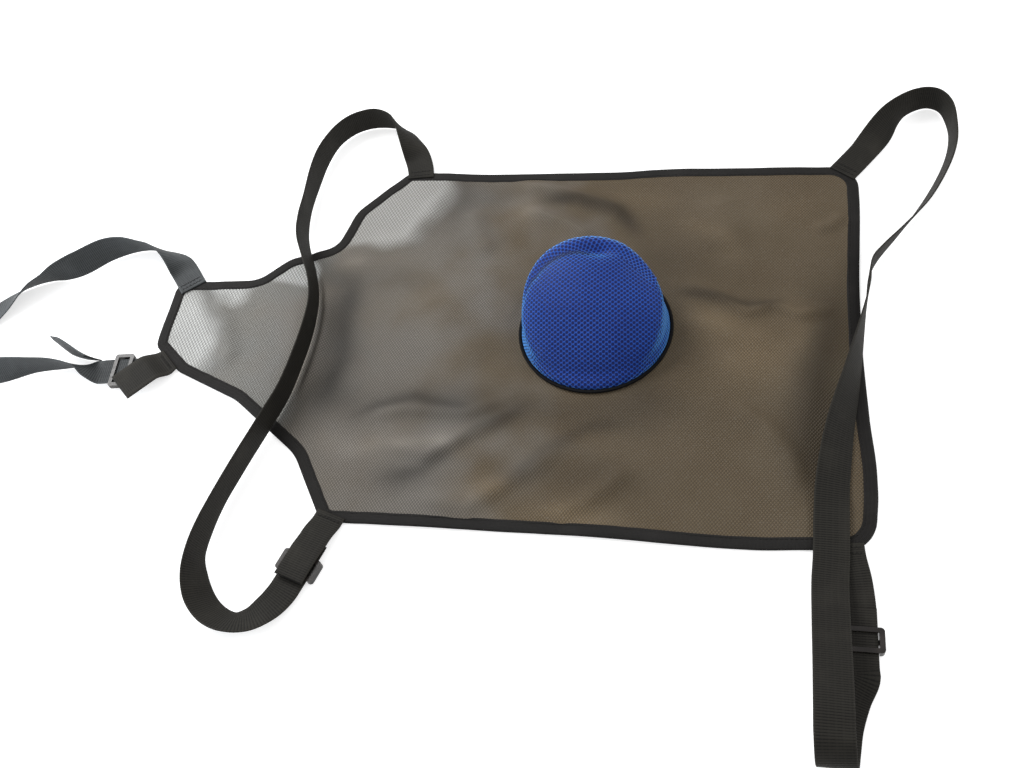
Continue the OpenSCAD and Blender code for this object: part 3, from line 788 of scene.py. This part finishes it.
def build_corner_stitches(material):
    """Two zigzag rows of thread across each sewn end of webbing."""
    count = 12
    width = WEB_W - 0.006
    step = width / count
    zigzag = 0.0010
    top = FIRST + WEB_T + 0.0001
    stitches = []
    for route, begin in (
        (NECK_ROUTE, NECK_FROM), (NECK_TAB_ROUTE, NECK_FROM), (SHOULDER_ROUTE, SEWN_FROM),
        (SHOULDER_TAB_ROUTE, SEWN_FROM), (BASE_ROUTE, SEWN_FROM), (BASE_TAB_ROUTE, SEWN_FROM),
    ):
        start, after = np.array(route[0][:2]), np.array(route[1][:2])
        ahead = (after - start) / np.linalg.norm(after - start)
        across = np.array((-ahead[1], ahead[0]))
        start = start + begin * (after - start)
        for distance in (0.0030, 0.0085):
            for k in range(count):
                side = (-0.5 + k / count) * width
                sway = zigzag if k % 2 else -zigzag
                a = start + ahead * (distance + sway) + across * side
                b = start + ahead * (distance - sway) + across * (side + 0.9 * step)
                stitches.append(((*a, top), (*b, top)))
    piece = stitch_mesh("corner_stitches", stitches, radius=0.00035)
    finish_piece(piece, material)
    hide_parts("corner_stitching")
    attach(piece, "vest")
    return piece


# ---------------------------------------------------------------- pommel

# The rings of its mesh: the radius of the innermost, then how many below, up the flank and on top
HUB_R = 0.004
UNDER_RINGS = 12
FLANK_STEPS = 12
TOP_RINGS = 7


def pommel_profile(inset):
    """Radius and height from the middle of the base, over the side, to the top."""
    shoulder_z = POMMEL_H - POMMEL_BULGE - POMMEL_EDGE_R
    radius = POMMEL_EDGE_R - inset
    profile = [(r, 0.0) for r in np.linspace(HUB_R, POMMEL_R - inset, UNDER_RINGS)]
    first = math.radians(4)
    start = (POMMEL_TOP_R + radius * math.cos(first), shoulder_z + radius * math.sin(first))
    foot = profile[-1]
    for k in range(1, FLANK_STEPS):
        t = k / FLANK_STEPS
        profile.append((foot[0] + t * (start[0] - foot[0]), t * start[1]))
    for k in range(ARC_STEPS + 1):
        a = first + (math.pi / 2 - first) * k / ARC_STEPS
        profile.append((POMMEL_TOP_R + radius * math.cos(a), shoulder_z + radius * math.sin(a)))
    top = POMMEL_H - POMMEL_BULGE - inset
    for r in np.linspace(POMMEL_TOP_R, HUB_R, TOP_RINGS)[1:]:
        profile.append((r, top + POMMEL_BULGE * (1 - (r / POMMEL_TOP_R) ** 2)))
    return profile


def face_ball():
    """The centre of the ball under the pommel's domed face."""
    crown = np.array((POMMEL[0], POMMEL[1] - CROWN_BACK, CLOTH_T + CROWN_H))
    return crown - FACE_DOME_R * np.array((0, -math.sin(FACE_TILT), math.cos(FACE_TILT)))


def slope_face(points, inset):
    """Brings whatever stands above the sloped, domed face down onto it, with a soft edge."""
    centre = face_ball()
    out = points - centre
    far = np.linalg.norm(out, axis=1)
    limit = FACE_DOME_R - inset
    soft = 0.004
    over = far - limit
    kept = np.where(over > -soft, -soft + soft * np.tanh((over + soft) / soft), over)
    return centre + out * ((limit + np.where(over > -soft, kept, over)) / far)[:, None]


def pommel_body(inset):
    """A closed pommel, round with a sloped face, remeshed evenly."""
    count = 72
    points = []
    profile = pommel_profile(inset)
    for r, z in profile:
        for k in range(count):
            a = 2 * math.pi * k / count
            points.append((POMMEL[0] + r * math.cos(a), POMMEL[1] + r * math.sin(a), CLOTH_T + z))
    foot = UNDER_RINGS * count
    points = np.array(points)
    points[foot:] = slope_face(points[foot:], inset)
    points[:, 2] = np.maximum(points[:, 2], CLOTH_T)
    body = link_mesh("pommel_body", points, ring_faces(len(profile), count, caps=(True, True)))
    recalculate_normals(body)
    remesh = body.modifiers.new("remesh", "REMESH")
    remesh.mode = "VOXEL"
    remesh.voxel_size = 0.0045
    remesh.use_smooth_shade = True
    apply_modifiers(body)
    return body


def puff(body, pressure, cap):
    """Blows a closed mesh up as cloth under pressure, its foot held, no vertex moving further than cap."""
    frames = 20
    at_rest = vertices_of(body)
    foot = body.vertex_groups.new(name="foot")
    held = [int(i) for i in np.nonzero(at_rest[:, 2] < CLOTH_T + 0.004)[0]]
    foot.add(held, 1.0, "REPLACE")
    cloth = body.modifiers.new("cloth", "CLOTH")
    settings = cloth.settings
    settings.quality = 6
    settings.mass = 0.25
    settings.tension_stiffness = 12
    settings.compression_stiffness = 12
    settings.shear_stiffness = 6
    settings.bending_stiffness = 0.6
    settings.use_pressure = True
    settings.uniform_pressure_force = pressure
    settings.effector_weights.gravity = 0
    settings.vertex_group_mass = "foot"
    cloth.point_cache.frame_start = 1
    cloth.point_cache.frame_end = frames
    scene = bpy.context.scene
    for number in range(1, frames + 1):
        scene.frame_set(number)
    graph = bpy.context.evaluated_depsgraph_get()
    blown = body.evaluated_get(graph)
    flat = np.zeros(len(blown.data.vertices) * 3)
    blown.data.vertices.foreach_get("co", flat)
    moved = flat.reshape(-1, 3) - at_rest
    body.modifiers.clear()
    body.vertex_groups.clear()
    scene.frame_set(1)
    far = np.linalg.norm(moved, axis=1)
    share = np.minimum(1, cap / np.maximum(far, 1e-9))
    move_vertices(body, at_rest + moved * share[:, None])


def seam_height(points):
    """Signed distance from the plane of the seam."""
    return (points - SEAM_POINT) @ np.array(SEAM_UP)


def smooth_seam(points):
    """1 where the seam lies smooth, to the right and low down, and 0 where it pulls the cover in."""
    right = ramp(points[:, 0], POMMEL[0] - 0.010, POMMEL[0] + 0.020)
    low = 1 - ramp(points[:, 2], 0.034, 0.048)
    return np.maximum(right, low)


def shape_pommel(body):
    """The seam's groove, the pinch behind the top, one slack corner and a foot that meets the piping."""
    points = vertices_of(body)
    normals = normals_of(body)
    side = seam_height(points)
    above_foot = ramp(points[:, 2], CLOTH_T + 0.006, CLOTH_T + 0.020)
    strained = 1 - 0.85 * smooth_seam(points)
    groove = strained * 0.0020 * np.exp(-((side / 0.0030) ** 2))
    padding = strained * 0.0016 * np.exp(-(((np.abs(side) - 0.009) / 0.006) ** 2))
    pinch_at = np.array((POMMEL[0] + 0.006, POMMEL[1] + 0.044, 0.076))
    pinch = 0.0060 * np.exp(-((np.linalg.norm((points - pinch_at) / (1.5, 0.8, 1.0), axis=1) / 0.010) ** 2))
    slack = np.array([noise.noise(Vector(p * 26)) for p in points])
    corner_at = np.array((POMMEL[0] + 0.050, POMMEL[1] + 0.042, 0.060))
    corner = 0.0045 * np.exp(-((np.linalg.norm(points - corner_at, axis=1) / 0.030) ** 2))
    inward = (groove - padding + pinch + corner + 0.0010 * slack) * above_foot
    points = points - normals * inward[:, None]
    out = points[:, :2] - POMMEL
    away = np.linalg.norm(out, axis=1)
    low = 1 - ramp(points[:, 2], CLOTH_T + 0.003, CLOTH_T + 0.014)
    spread = low * np.maximum(0, POMMEL_R - 0.0004 - away) * (away > 0.060)
    points[:, :2] += out * (spread / np.maximum(away, 1e-6))[:, None]
    move_vertices(body, points)


def unwrap(obj, turn):
    """Lays a piece of cover out flat, and stores each vertex's place there and its distance to the seam.

    Where the seam lies smooth it counts as further off, since no dark line shows there.
    """
    bpy.ops.object.select_all(action="DESELECT")
    obj.select_set(True)
    bpy.context.view_layer.objects.active = obj
    obj.data.uv_layers.new(name="flat")
    bpy.ops.object.mode_set(mode="EDIT")
    bpy.ops.mesh.select_all(action="SELECT")
    bpy.ops.uv.unwrap(method="ANGLE_BASED", margin=0.0)
    bpy.ops.object.mode_set(mode="OBJECT")
    layer = obj.data.uv_layers["flat"].data
    place = np.zeros((len(obj.data.vertices), 2))
    flat_area = 0.0
    for face in obj.data.polygons:
        corners = [np.array(layer[k].uv) for k in face.loop_indices]
        for k, corner in zip(face.vertices, corners):
            place[k] = corner
        for b, c in zip(corners[1:], corners[2:]):
            first, second = b - corners[0], c - corners[0]
            flat_area += abs(first[0] * second[1] - first[1] * second[0]) / 2
    scale = math.sqrt(sum(face.area for face in obj.data.polygons) / flat_area)
    c, s = math.cos(turn), math.sin(turn)
    place = place @ np.array(((c, s), (-s, c))) * scale
    points = vertices_of(obj)
    from_seam = np.abs(seam_height(points)) + 0.003 * smooth_seam(points)
    set_weave(obj.data, np.column_stack([place, from_seam]))
    obj.data.uv_layers.remove(obj.data.uv_layers["flat"])


def cover_part(body, name, above):
    """The part of the pommel's skin above or below the seam, without its underside."""
    mesh = body.data.copy()
    work = bmesh.new()
    work.from_mesh(mesh)
    bmesh.ops.bisect_plane(
        work, geom=work.verts[:] + work.edges[:] + work.faces[:], plane_co=SEAM_POINT, plane_no=SEAM_UP,
        clear_inner=above, clear_outer=not above,
    )
    under = [f for f in work.faces if f.calc_center_median().z < CLOTH_T + 0.0016 and f.normal.z < -0.5]
    bmesh.ops.delete(work, geom=under, context="FACES")
    for edge in work.edges:
        edge.smooth = not edge.is_boundary
    work.to_mesh(mesh)
    work.free()
    return link_object(name, mesh)


def tube(name, line, radius):
    """A round tube along a closed line of points."""
    sides = 12
    ahead = directions_round(line)
    run = distances_along(line)
    middle = line.mean(axis=0)
    points, weave = [], []
    for i in range(len(line)):
        out = line[i] - middle
        out -= (out @ ahead[i]) * ahead[i]
        out /= np.linalg.norm(out)
        up = np.cross(ahead[i], out)
        for k in range(sides):
            a = 2 * math.pi * k / sides
            points.append(line[i] + radius * (math.cos(a) * out + math.sin(a) * up))
            weave.append((run[i], a * radius, 0))
    piece = link_mesh(name, points, ring_faces(len(line), sides, closed_along=True), weave)
    recalculate_normals(piece)
    return piece


def build_pommel(cover, foam, cord_cloth):
    """The padded pommel: foam, a cover in two pieces, the seam between them and piping round the foot."""
    body = pommel_body(inset=0.0030)
    puff(body, pressure=4.0, cap=0.0065)
    finer = body.modifiers.new("finer", "SUBSURF")
    finer.levels = 1
    finer.render_levels = 1
    apply_modifiers(body)
    shape_pommel(body)

    core = link_object("pommel_foam_core", body.data.copy())
    foot_middle = np.array((*POMMEL, CLOTH_T))
    core_share = 0.92
    move_vertices(core, foot_middle + (vertices_of(core) - foot_middle) * core_share)
    set_weave(core.data, vertices_of(core))
    finish_piece(core, foam)
    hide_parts("pommel_foam")
    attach(core, "vest")

    for name, above, node, turn in [
        ("pommel_front_cover", True, "pommel_cover_face", math.radians(-6)),
        ("pommel_back_band", False, "pommel_cover_band", math.radians(65)),
    ]:
        part = cover_part(body, name, above)
        unwrap(part, turn)
        part.data.polygons.foreach_set("use_smooth", [True] * len(part.data.polygons))
        shell = part.modifiers.new("shell", "SOLIDIFY")
        shell.thickness = 0.003
        shell.offset = -1
        apply_modifiers(part)
        finish_piece(part, cover)
        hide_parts(node)
        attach(part, "vest")
    bpy.data.objects.remove(body)

    # The piping is round and a little sunk in between the cover's foot and the cloth
    piping_r = 0.0018
    ring_r = POMMEL_R + 0.0014
    turns = np.linspace(0, 2 * math.pi, 160, endpoint=False)
    ring = np.column_stack([
        POMMEL[0] + ring_r * np.cos(turns),
        POMMEL[1] + ring_r * np.sin(turns),
        np.full(len(turns), CLOTH_T + piping_r - 0.0001),
    ])
    piping = tube("pommel_foot_piping", ring, piping_r)
    finish_piece(piping, cord_cloth)
    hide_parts("pommel_piping")
    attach(piping, "vest")


# ---------------------------------------------------------------- sliders


def dress_sliders(plastic):
    """The sliders are the CAD's own solids, in glossy plastic with softened edges."""
    for node in ("neck_slider", "shoulder_slider", "base_slider"):
        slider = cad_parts[node]
        slider.data.materials.clear()
        slider.data.materials.append(plastic)
        rounded = slider.modifiers.new("rounded", "BEVEL")
        rounded.width = 0.0007
        rounded.segments = 3
        rounded.limit_method = "ANGLE"


# ---------------------------------------------------------------- materials


class Material:
    """A node material on one shader, with short names for the nodes that it needs."""

    def __init__(self, name):
        self.data = bpy.data.materials.new(name)
        self.data.use_nodes = True
        self.tree = self.data.node_tree
        self.shader = next(n for n in self.tree.nodes if n.type == "BSDF_PRINCIPLED")

    def set(self, **values):
        for name, value in values.items():
            self.shader.inputs[name.replace("_", " ")].default_value = value

    def node(self, kind, inputs=(), **settings):
        made = self.tree.nodes.new(kind)
        for name, value in settings.items():
            setattr(made, name, value)
        for key, value in dict(inputs).items():
            self.feed(made.inputs[key], value)
        return made

    def feed(self, socket, value):
        if isinstance(value, bpy.types.NodeSocket):
            self.tree.links.new(value, socket)
        else:
            socket.default_value = value

    def math(self, operation, a, b=0.0):
        return self.node("ShaderNodeMath", {0: a, 1: b}, operation=operation).outputs[0]

    def plus(self, a, b):
        return self.math("ADD", a, b)

    def minus(self, a, b):
        return self.math("SUBTRACT", a, b)

    def times(self, a, b):
        return self.math("MULTIPLY", a, b)

    def smooth(self, value, low, high):
        made = self.node(
            "ShaderNodeMapRange", {"Value": value, "From Min": low, "From Max": high},
            interpolation_type="SMOOTHSTEP",
        )
        return made.outputs["Result"]

    def mix(self, factor, a, b):
        made = self.node("ShaderNodeMix", data_type="RGBA")
        self.feed(made.inputs["Factor"], factor)
        self.feed(made.inputs["A"], a)
        self.feed(made.inputs["B"], b)
        return made.outputs["Result"]

    def noise(self, place, scale, detail=2.0):
        made = self.node("ShaderNodeTexNoise", {"Vector": place, "Scale": scale, "Detail": detail})
        return made.outputs["Fac"]

    def stored(self, name):
        """A value that the mesh stores at each of its points."""
        return self.node("ShaderNodeAttribute", attribute_name=name).outputs["Fac"]

    def fabric(self):
        """The piece's own fabric coordinates in metres: the vector, along and across."""
        place = self.node("ShaderNodeAttribute", attribute_name="weave").outputs["Vector"]
        parts = self.node("ShaderNodeSeparateXYZ", {0: place})
        return place, parts.outputs[0], parts.outputs[1]

    def humps(self, value, pitch):
        """A row of rounded humps along one fabric coordinate, from 0 to 1."""
        return self.math("ABSOLUTE", self.math("SINE", self.times(value, math.pi / pitch)))

    def bump(self, height, distance, strength=1.0):
        made = self.node("ShaderNodeBump", {"Height": height, "Distance": distance, "Strength": strength})
        self.tree.links.new(made.outputs["Normal"], self.shader.inputs["Normal"])

    def colour(self, value):
        self.feed(self.shader.inputs["Base Color"], value)


def diamonds(m, x, y, pitch, slant):
    """Two slanted rows of humps that cross: small diamond cells."""
    lean = m.times(y, slant)
    return m.times(m.humps(m.plus(x, lean), pitch), m.humps(m.minus(x, lean), pitch))


def mesh_cloth():
    """Coated mesh cloth: small diamond cells, painted light and shade in lighter and darker places, and
    painted reflections of the window in silvery places and a greyer tongue end.
    """
    m = Material("mesh_cloth")
    m.set(Roughness=0.55, Sheen_Weight=0.02, Sheen_Roughness=0.45, Specular_IOR_Level=0.16)
    place, x, y = m.fabric()
    cell = diamonds(m, x, y, 0.0030, 0.8)
    fine = m.noise(place, 420.0, 1.0)
    # Lighter and greyer towards the tongue, brown at the wide end: the brown is the cloth's own colour, the
    # grey a soft painted reflection of the window
    hue = m.plus(x, m.times(m.minus(m.noise(place, 12.0), 0.5), 0.5))
    reflection_grey = m.mix(m.smooth(hue, -0.30, -0.16), (0.150, 0.154, 0.148, 1), (0.150, 0.136, 0.119, 1))
    brown = m.smooth(hue, -0.12, 0.12)
    light = m.mix(brown, reflection_grey, (0.090, 0.066, 0.038, 1))
    dark = m.mix(brown, (0.066, 0.061, 0.054, 1), (0.044, 0.032, 0.019, 1))
    thread = m.mix(m.smooth(cell, 0.05, 0.55), dark, light)
    wear = m.times(m.smooth(m.noise(place, 9.0, 3.0), 0.35, 0.75), 0.35)
    worn = m.mix(wear, thread, (0.112, 0.090, 0.062, 1))
    speck = m.mix(m.times(m.smooth(fine, 0.55, 0.8), 0.2), worn, (0.15, 0.14, 0.12, 1))
    # Painted light and shade of folds, creases and shadows scales the cloth's colour
    painted_shading_colour = m.node("ShaderNodeVectorMath", {0: speck, "Scale": m.stored("painted_shading")}, operation="SCALE")
    # Painted reflection of the window: light silver cells, mixed in by the stored painted reflection mask
    basket = m.smooth(diamonds(m, x, y, 0.0038, 0.7), 0.0, 0.6)
    painted_reflection_colour = m.mix(basket, (0.20, 0.20, 0.195, 1), (0.50, 0.505, 0.49, 1))
    m.colour(m.mix(m.stored("painted_reflection"), painted_shading_colour.outputs["Vector"], painted_reflection_colour))
    m.bump(m.plus(cell, m.times(fine, 0.15)), 0.0005, 0.9)
    return m.data


def ribbed_tape(name, light, dark, rib, column, roughness):
    """Woven tape: cross ribs in columns of warp yarn, worn a little along its edges."""
    m = Material(name)
    m.set(Roughness=roughness, Sheen_Weight=0.0, Specular_IOR_Level=0.14)
    place, u, v = m.fabric()
    shifted = m.plus(u, m.times(m.math("FLOOR", m.math("DIVIDE", v, column)), rib / 2))
    ribs = m.plus(m.times(m.humps(u, rib), 0.8), m.times(m.humps(shifted, rib), 0.2))
    height = m.times(ribs, m.plus(m.times(m.humps(v, column), 0.25), 0.75))
    woven = m.mix(m.smooth(height, 0.1, 0.8), dark, light)
    faded = tuple(min(1.0, 1.5 * c) for c in light[:3]) + (1,)
    patchy = m.mix(m.times(m.smooth(m.noise(place, 30.0, 3.0), 0.45, 0.8), 0.5), woven, faded)
    edge = m.smooth(m.math("ABSOLUTE", v), WEB_W / 2 - 0.0020, WEB_W / 2 - 0.0006)
    m.colour(m.mix(m.times(edge, 0.4), patchy, faded))
    m.bump(height, 0.0003, 0.9)
    return m.data


def spacer_mesh():
    """Air mesh: staggered rows of holes in springy knitted blue, dark along the seam, with a painted
    highlight round its outline.
    """
    m = Material("spacer_mesh")
    m.set(Roughness=0.5, Sheen_Weight=0.6, Sheen_Roughness=0.3, Specular_IOR_Level=0.2)
    m.set(Sheen_Tint=(0.25, 0.55, 1.0, 1))
    place, x, y = m.fabric()
    pitch = 0.0044
    tall = 0.0057

    def nearest(shift):
        """Distance to the nearest hole of every second row, in pitches."""
        a = m.plus(m.math("DIVIDE", x, pitch), shift)
        b = m.plus(m.math("DIVIDE", y, tall), shift)
        da = m.minus(a, m.math("ROUND", a))
        db = m.times(m.minus(b, m.math("ROUND", b)), tall / pitch)
        return m.math("SQRT", m.plus(m.times(da, da), m.times(db, db)))

    wall = m.smooth(m.math("MINIMUM", nearest(0.0), nearest(0.5)), 0.27, 0.43)
    knit = m.humps(m.plus(x, y), 0.0009)
    patch = m.smooth(m.noise(place, 22.0), 0.3, 0.7)
    thread = m.mix(patch, (0.006, 0.048, 0.31, 1), (0.010, 0.068, 0.39, 1))
    lit = m.mix(m.times(knit, 0.25), thread, (0.02, 0.11, 0.52, 1))
    # Painted highlight: a bright blue mixed in where the surface turns away from the view, round the
    # pommel's outline
    facing_for_painted_highlight = m.node("ShaderNodeLayerWeight", {"Blend": 0.35}).outputs["Facing"]
    rim = m.mix(m.times(m.smooth(facing_for_painted_highlight, 0.24, 0.66), 0.85), lit, (0.08, 0.38, 1.0, 1))
    cloth = m.mix(wall, (0.001, 0.006, 0.075, 1), rim)
    from_seam = m.node("ShaderNodeSeparateXYZ", {0: place}).outputs[2]
    m.colour(m.mix(m.smooth(from_seam, 0.0008, 0.0024), (0.001, 0.006, 0.06, 1), cloth))
    m.bump(m.plus(wall, m.times(knit, 0.10)), 0.0009, 0.8)
    return m.data


def foam_core():
    """Open-cell foam."""
    m = Material("foam")
    m.set(Roughness=0.9)
    cells = m.noise(m.fabric()[0], 700.0)
    m.colour(m.mix(cells, (0.50, 0.46, 0.36, 1), (0.75, 0.71, 0.60, 1)))
    m.bump(cells, 0.0006)
    return m.data


def black_cord():
    """Twisted piping cord cover."""
    m = Material("piping")
    m.set(Roughness=0.7, Specular_IOR_Level=0.1)
    _, u, v = m.fabric()
    twist = m.humps(m.plus(u, m.times(v, 0.7)), 0.0014)
    m.colour(m.mix(twist, (0.0015, 0.0015, 0.002, 1), (0.005, 0.005, 0.006, 1)))
    m.bump(twist, 0.0004)
    return m.data


def sewing_thread():
    """Dark polyester thread."""
    m = Material("thread")
    m.set(Roughness=0.55, Specular_IOR_Level=0.15)
    _, u, v = m.fabric()
    twist = m.humps(m.plus(u, v), 0.0005)
    m.colour(m.mix(twist, (0.004, 0.004, 0.004, 1), (0.014, 0.013, 0.012, 1)))
    m.bump(twist, 0.0001)
    return m.data


def slider_plastic():
    """Glossy moulded black plastic, scuffed a little."""
    m = Material("slider_plastic")
    m.set(Specular_IOR_Level=0.3, Coat_Weight=0.04, Coat_Roughness=0.2)
    place = m.node("ShaderNodeTexCoord").outputs["Object"]
    scuff = m.noise(place, 300.0, 4.0)
    broad = m.smooth(m.noise(place, 60.0), 0.4, 0.7)
    ends = {"From Min": 0.3, "From Max": 0.8, "To Min": 0.26, "To Max": 0.42}
    rough = m.node("ShaderNodeMapRange", {"Value": scuff, **ends})
    m.feed(m.shader.inputs["Roughness"], rough.outputs["Result"])
    m.colour(m.mix(broad, (0.010, 0.008, 0.007, 1), (0.022, 0.018, 0.016, 1)))
    m.bump(scuff, 0.0001, 0.4)
    return m.data


def white_floor():
    """The plain pale floor."""
    m = Material("floor")
    m.set(Roughness=0.9, Specular_IOR_Level=0.1, Base_Color=(0.66, 0.66, 0.66, 1))
    m.set(Emission_Strength=0.6, Emission_Color=(1, 1, 1, 1))
    return m.data


# ---------------------------------------------------------------- camera, floor and light


def add_camera():
    """The camera of the photograph: a 37 mm lens, 55 degrees above the floor and rolled a little."""
    back = -Vector((-0.2079, 0.5334, -0.8199)).normalized()
    right = Vector((0.9778, 0.1363, -0.1594))
    right = (right - right.dot(back) * back).normalized()
    up = back.cross(right)
    data = bpy.data.cameras.new("camera")
    data.lens = 37.02
    data.sensor_width = 36
    data.clip_start = 0.05
    data.clip_end = 50
    camera = link_object("camera", data)
    turn = Matrix((right, up, back)).transposed().to_4x4()
    camera.matrix_world = Matrix.Translation((0.2463, -0.6127, 0.845)) @ turn
    bpy.context.scene.camera = camera


def add_floor():
    """A floor that goes on past the picture, just under the vest."""
    mesh = bpy.data.meshes.new("floor")
    far = 12.0
    mesh.from_pydata([(-far, -far, 0), (far, -far, 0), (far, far, 0), (-far, far, 0)], [], [(0, 1, 2, 3)])
    floor = link_object("floor", mesh)
    floor.location.z = -0.0006
    floor.data.materials.append(white_floor())


def add_area_light(name, place, target, size, power, colour=(1, 1, 1)):
    """A rectangular lamp at a place, turned to a target."""
    data = bpy.data.lights.new(name, "AREA")
    data.shape = "RECTANGLE"
    data.size, data.size_y = size
    data.energy = power
    data.color = colour
    light = link_object(name, data)
    light.location = place
    light.rotation_euler = (Vector(target) - Vector(place)).to_track_quat("-Z", "Y").to_euler()


def add_light():
    """A soft white room, a broad window at the far left, and weak lights from the left and the right."""
    world = bpy.data.worlds.new("room")
    world.use_nodes = True
    background = world.node_tree.nodes["Background"]
    background.inputs["Color"].default_value = (1, 1, 1, 1)
    background.inputs["Strength"].default_value = 0.75
    bpy.context.scene.world = world
    add_area_light("window", (-1.25, 0.95, 1.35), (0, 0, 0), (1.1, 1.1), 42)
    add_area_light("side", (1.6, 0.2, 0.9), (0.1, 0, 0), (0.8, 0.8), 10)
    add_area_light("low", (-1.1, -0.25, 0.26), (0.06, 0, 0.04), (0.5, 0.3), 6, (0.85, 0.92, 1.0))
    bpy.context.scene.view_settings.view_transform = "Standard"


# ---------------------------------------------------------------- the scene

add_camera()
webbing_cloth = ribbed_tape(
    "webbing", light=(0.0165, 0.0152, 0.0124, 1), dark=(0.0036, 0.0034, 0.0030, 1),
    rib=0.0022, column=0.0026, roughness=0.70,
)
# A lighter, bluer copy of the webbing for the neck strap: painted light, as if that strap caught more light
lit_webbing_copy = ribbed_tape(
    "neck_webbing_painted_light", light=(0.0480, 0.0520, 0.0540, 1), dark=(0.0160, 0.0175, 0.0185, 1),
    rib=0.0022, column=0.0026, roughness=0.60,
)
binding_cloth = ribbed_tape(
    "binding_tape", light=(0.0125, 0.0115, 0.0108, 1), dark=(0.0040, 0.0038, 0.0036, 1),
    rib=0.0011, column=0.0016, roughness=0.68,
)
build_neck_loop(lit_webbing_copy, webbing_cloth)
build_shoulder_loop(webbing_cloth)
build_base_loop(webbing_cloth)
panel = build_panel(mesh_cloth())
binding = build_binding(binding_cloth)
thread = sewing_thread()
binding_thread = build_binding_stitches(thread)
build_corner_stitches(thread)
build_pommel(spacer_mesh(), foam_core(), black_cord())

dress_sliders(slider_plastic())
add_floor()
add_light()
